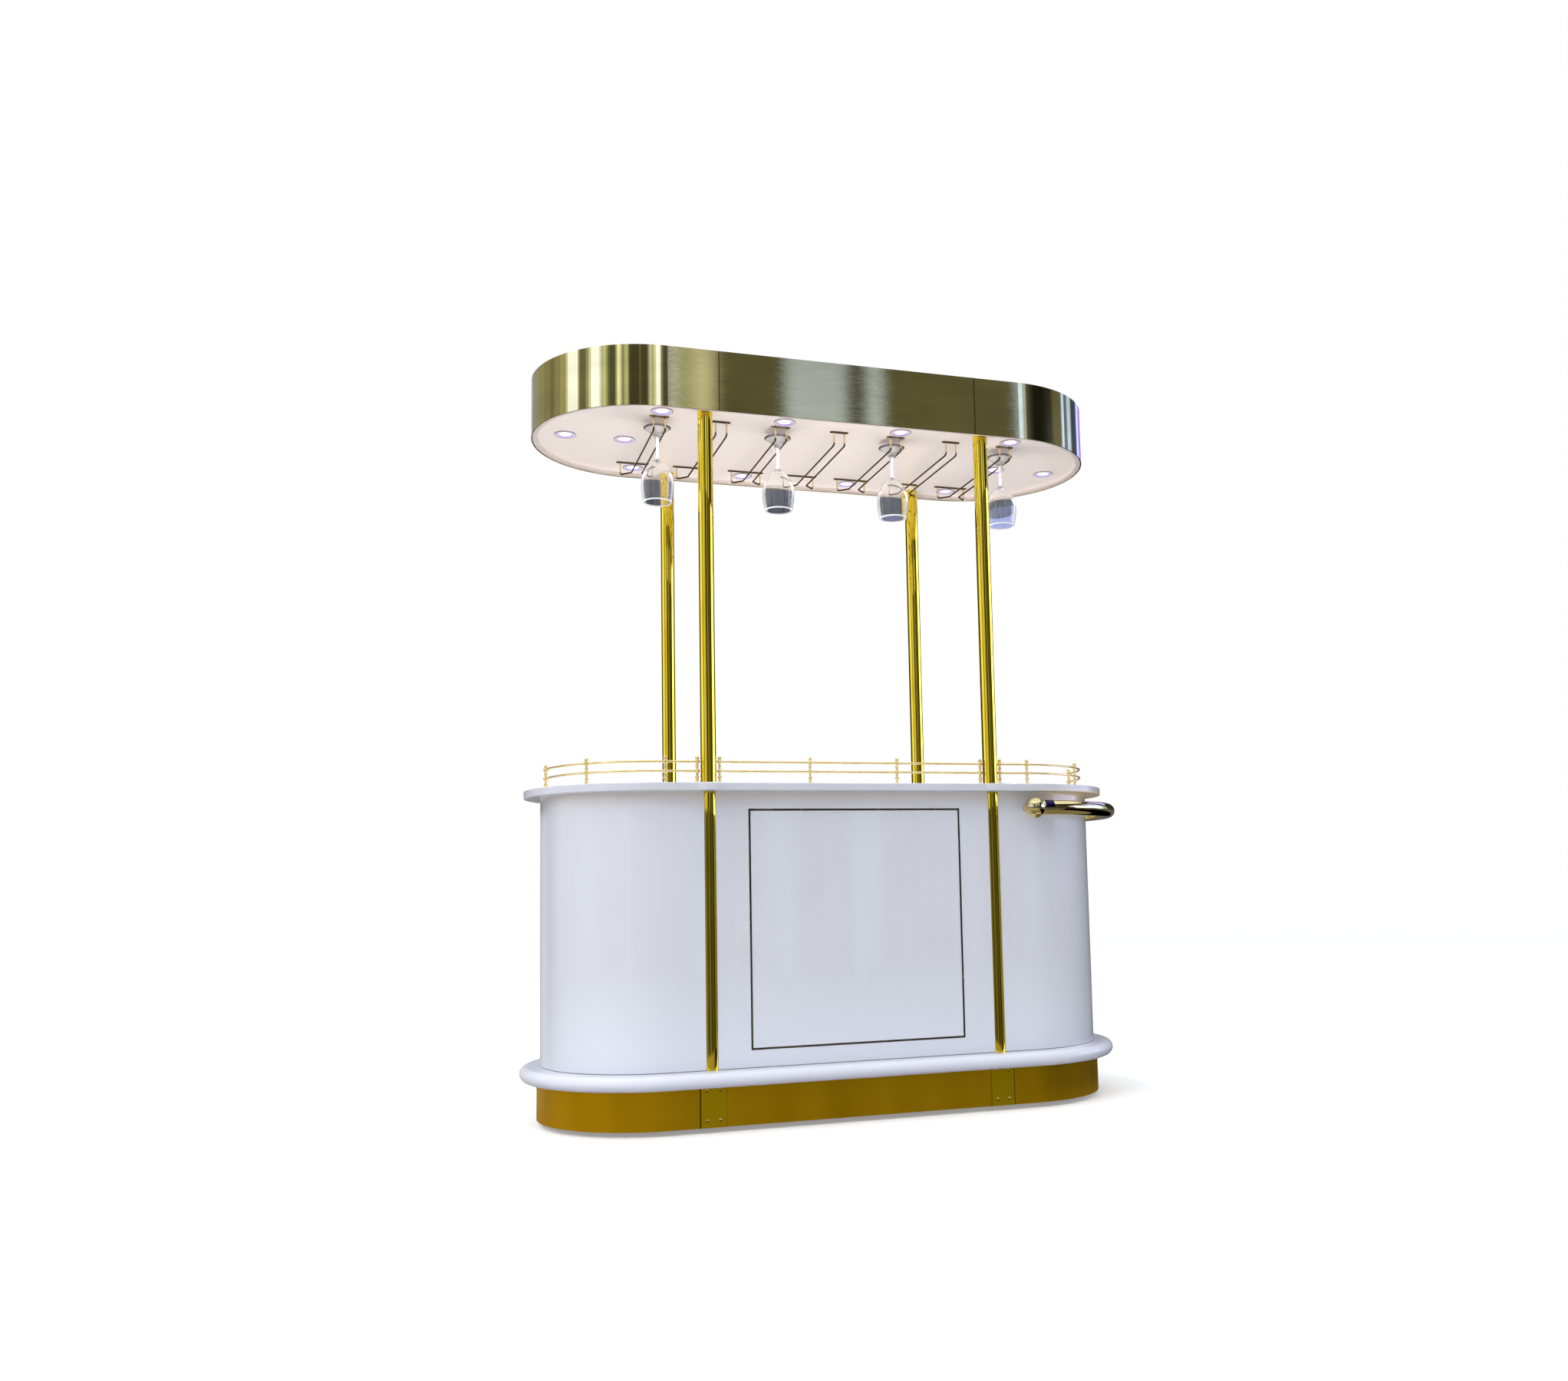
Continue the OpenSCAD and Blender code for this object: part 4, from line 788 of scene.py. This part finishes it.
# Each card ends at an angle in degrees, from straight in front towards the cart's right end, and
# has a level, where 1 is white, and a tint
UPPER_CARDS = [(-168, 0.72, "white"), (-162, 0.47, ""), (-140, 0.36, ""), (-128, 0.33, "warm"),
               (-117, 0.28, "warm"), (-110, 0.21, "warm"), (-102, 0.31, "warm"),
               (-94.5, 0.42, "warm"), (-92, 0.8, ""), (-80, 1.4, "white"), (-78, 0.4, ""),
               (-71.5, 0.18, "warm"), (-68.5, 0.4, ""), (-66, 0.9, ""), (-57.5, 1.5, "white"),
               (-55.5, 0.95, "white"), (-53.8, 0.62, ""), (-51.5, 0.79, "green"),
               (-49.5, 0.5, "green"), (-47.5, 0.2, "green"), (-42, 0.11, "warm"),
               (-40.3, 0.45, ""), (-37.5, 1.2, ""), (-35.8, 0.75, ""), (-33.5, 0.33, ""),
               (-29.7, 0.62, "green"), (-28, 0.14, ""), (-19.8, 0.07, "warm"),
               (-17.5, 0.14, "warm"), (-11.5, 0.08, "warm"), (-10, 0.38, ""), (-7.7, 0.76, ""),
               (-5.7, 0.6, ""), (-3.6, 0.93, ""), (0.7, 1.5, "white"), (2.6, 0.35, ""),
               (6.2, 0.10, ""), (7.6, 0.25, ""), (7.78, 0.3, "grey"), (7.98, 1.3, "white"),
               (8.45, 0.36, "green"), (9.1, 0.5, ""), (10, 0.72, ""), (10.4, 0.36, ""),
               (14.15, 0.115, "warm"), (17.6, 0.6, "grey"), (18.7, 0.10, ""),
               (19.65, 0.66, "grey"), (27.3, 0.125, "warm"), (32, 1.25, "sky"),
               (35.5, 0.6, "white"), (38.5, 0.12, ""), (41, 0.07, ""), (44, 0.035, ""),
               (58, 0.016, ""), (66, 0.025, ""), (68.5, 0.05, ""), (70.5, 0.1, ""),
               (82, 0.15, "warm"), (84.3, 0.25, "sky"), (88.5, 1.05, "sky"), (94.5, 0.22, "sky"),
               (102, 0.85, "sky"), (104.5, 0.28, "white"), (112, 0.08, "white"),
               (118.5, 0.1, "blue"), (128, 0.95, "sky"), (150, 0.62, "pink"), (180, 0.72, "white")]
MIDDLE_CARDS = [(-133, 0.03, ""), (-112, 0.45, ""), (-92, 1.6, ""), (-70, 0.75, ""),
                (-62, 0.12, ""), (-46, 0.95, ""), (-28.5, 0.5, ""), (-11, 0.03, ""),
                (4, 0.35, ""), (18, 0.05, ""), (24, 0.3, ""), (54, 0.05, ""), (60, 0.6, ""),
                (100, 3.0, "white"), (111, 0.5, ""), (180, 0.03, "")]
LOW_CARDS = [(-140, 0.5, ""), (-112, 0.04, ""), (-95, 0.22, ""), (-80, 0.10, ""),
             (-58, 0.26, ""), (-44, 0.11, ""), (-24, 0.08, ""), (-6, 0.18, ""), (12, 0.06, ""),
             (40, 0.09, ""), (60, 0.04, ""), (80, 0.25, ""), (180, 0.12, "")]
FLOOR_CARDS = [(-40, 0.40, "gold"), (2, 0.38, "gold"), (30, 0.35, ""), (50, 0.12, ""),
               (150, 0.0, ""), (180, 0.15, "")]
# Each ring reaches from one height in metres to another
RINGS = {"dark_line": (9.0, 11.0, [(180, 0.05, "")]), "upper_cards": (5.2, 9.0, UPPER_CARDS),
         "middle_cards": (1.5, 5.2, MIDDLE_CARDS), "low_cards": (-1.2, 1.5, LOW_CARDS),
         "floor_cards": (-7.0, -1.2, FLOOR_CARDS),
         "deep_cards": (-60.0, -7.0, [(180, 0.2, "gold")])}


def glowing_paper():
    paper = Finish("glowing_paper", colour=(0, 0, 0), roughness=1.0)
    paper.set("Specular IOR Level", 0.0)
    paper.link(paper.add("Attribute", "Color", {"attribute_name": "glow"}), "Emission Color")
    paper.set("Emission Strength", 1.0)
    return paper.material


card_paper = glowing_paper()
print(len(TINTS), "tints for", len(RINGS), "rings")

# %% [markdown]
# Each ring is one mesh, so that the cards meet edge to edge and no white shows between them. Every
# card's glow is kept in the colours of its corners, and one paper reads them for all. A card that
# spans a wide angle is cut into strips of some six degrees, so the ring stays round.

# %% Rings of cards
STRIP_DEGREES = 6


def ring_of_cards(name, low, high, cards, start=-180, radius=12.0):
    """Upright curved cards, edge to edge, that glow in their own colours for glossy rays only."""
    mesh = bmesh.new()
    glow = mesh.loops.layers.float_color.new("glow")
    for stop, level, tint in cards:
        strips = max(1, round((stop - start) / STRIP_DEGREES))
        for k in range(strips):
            a, b = (math.radians(start + (stop - start) * j / strips) for j in (k, k + 1))
            face = mesh.faces.new([mesh.verts.new((radius * math.sin(t), -radius * math.cos(t), z))
                                   for t, z in ((a, low), (b, low), (b, high), (a, high))])
            for corner in face.loops:
                corner[glow] = (*(level * c for c in TINTS[tint]), 1)
        start = stop
    data = bpy.data.meshes.new(name)
    mesh.to_mesh(data)
    mesh.free()
    data.materials.append(card_paper)
    ring = bpy.data.objects.new(name, data)
    bpy.context.scene.collection.objects.link(ring)
    ring.visible_camera = ring.visible_diffuse = ring.visible_transmission = False
    ring.visible_shadow = ring.visible_volume_scatter = False
    return ring


for ring_name, (ring_low, ring_high, ring_cards) in RINGS.items():
    ring_of_cards(ring_name, ring_low, ring_high, ring_cards)
    print(ring_name, "from", ring_low, "to", ring_high, "m:", len(ring_cards), "cards")

# %% [markdown]
# Clear glass against a white ground all but vanishes. Dark cards behind the cart, seen only through
# the glass, draw the bowls. There are three, one above the other: a paler one behind the mouths, a
# narrow middling one, and a dark one behind the bowls and the feet.

# %% Cards behind the glasses
BEHIND_FROM, BEHIND_TO, BEHIND_RADIUS = 130, 205, 2.4
# Lowest and highest points in metres, and the level
BEHIND_BANDS = [(0.8, 2.36, 0.42), (2.36, 2.42, 0.14), (2.42, 5.0, 0.035)]
for band, (band_low, band_high, band_level) in enumerate(BEHIND_BANDS):
    behind = ring_of_cards("behind_glass_%d" % band, band_low, band_high,
                           [(BEHIND_TO, band_level, "grey")], BEHIND_FROM, BEHIND_RADIUS)
    behind.visible_glossy, behind.visible_transmission = False, True
print(len(BEHIND_BANDS), "bands behind the glasses")

# %% [markdown]
# Four softboxes stand round the cart, with the strongest at the left, where the photograph's light
# comes from. A fifth lies low over the counter and shines up, as the white counter does, because
# light that bounces twice takes a render long to find. None of them shows in the brass, where the
# cards are, so their size and strength can be chosen for the lacquer alone.

# %% Softboxes
def softbox(name, at, aim, size, watts, colour=(1, 1, 1)):
    lamp = bpy.data.lights.new(name, "AREA")
    lamp.shape = "RECTANGLE"
    lamp.size, lamp.size_y = size
    lamp.energy = watts
    lamp.color = colour
    light = bpy.data.objects.new(name, lamp)
    light.location = at
    light.rotation_euler = (Vector(aim) - Vector(at)).to_track_quat("-Z", "Y").to_euler()
    light.visible_camera = light.visible_glossy = light.visible_transmission = False
    bpy.context.scene.collection.objects.link(light)


softbox("key_left", (-4.2, -3.4, 3.0), (0, 0, 0.9), (2.4, 2.4), 95, (1, 0.99, 0.98))
softbox("fill_front", (1.6, -5.0, 2.2), (0, 0, 0.8), (2.6, 2.0), 12, (0.93, 0.96, 1))
softbox("rim_right", (4.5, 0.5, 2.6), (0, 0, 1.0), (1.6, 2.2), 22, (0.92, 0.95, 1))
softbox("back_left", (-2.5, 4.0, 2.6), (0, 0, 1.0), (2.4, 2.0), 45)
softbox("bounce_up", (MIDDLE_X, 0, COUNTER_UNDER + 0.06), (MIDDLE_X, 0, 2), (1.0, 0.4), 5.2,
        (1, 0.97, 0.95))
print("five softboxes")

# %% [markdown]
# A wide soft light from above brings up the floor, the tops and the shadow under the cart. An area
# lamp would fade towards the floor's edges, while a sun is the same all over it.

# %% Overhead light
def overhead(strength=1.5):
    lamp = bpy.data.lights.new("overhead", "SUN")
    lamp.energy = strength
    lamp.angle = math.radians(60)
    light = bpy.data.objects.new("overhead", lamp)
    light.rotation_euler = Vector((0.35, 0.45, -1.0)).to_track_quat("-Z", "Y").to_euler()
    light.visible_glossy = light.visible_transmission = False
    bpy.context.scene.collection.objects.link(light)
    return lamp.energy


print("overhead light of strength", overhead())

# %% [markdown]
# The lenses glow, but a glow that small lights its surroundings with grainy noise. A disc lamp just
# under each lens lights the racks, the glasses and the counter cleanly instead.

# %% Downlight beams
def downlights(watts=1.6):
    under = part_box("downlight_lenses")[0][2] - 0.004
    places = {(side * x, across * y) for x, y in LIGHTS for side in (-1, 1) for across in (-1, 1)}
    for number, (x, y) in enumerate(sorted(places)):
        lamp = bpy.data.lights.new("downlight_%d" % number, "AREA")
        lamp.shape = "DISK"
        lamp.size = 0.04
        lamp.energy = watts
        lamp.spread = math.radians(120)
        light = bpy.data.objects.new("downlight_%d" % number, lamp)
        light.location = (MIDDLE_X + x, y, under)
        light.visible_camera = light.visible_glossy = light.visible_transmission = False
        bpy.context.scene.collection.objects.link(light)
    return len(places)


print(downlights(), "downlights lit")

# %% [markdown]
# ## Finish

# %% Finish
print("finished")
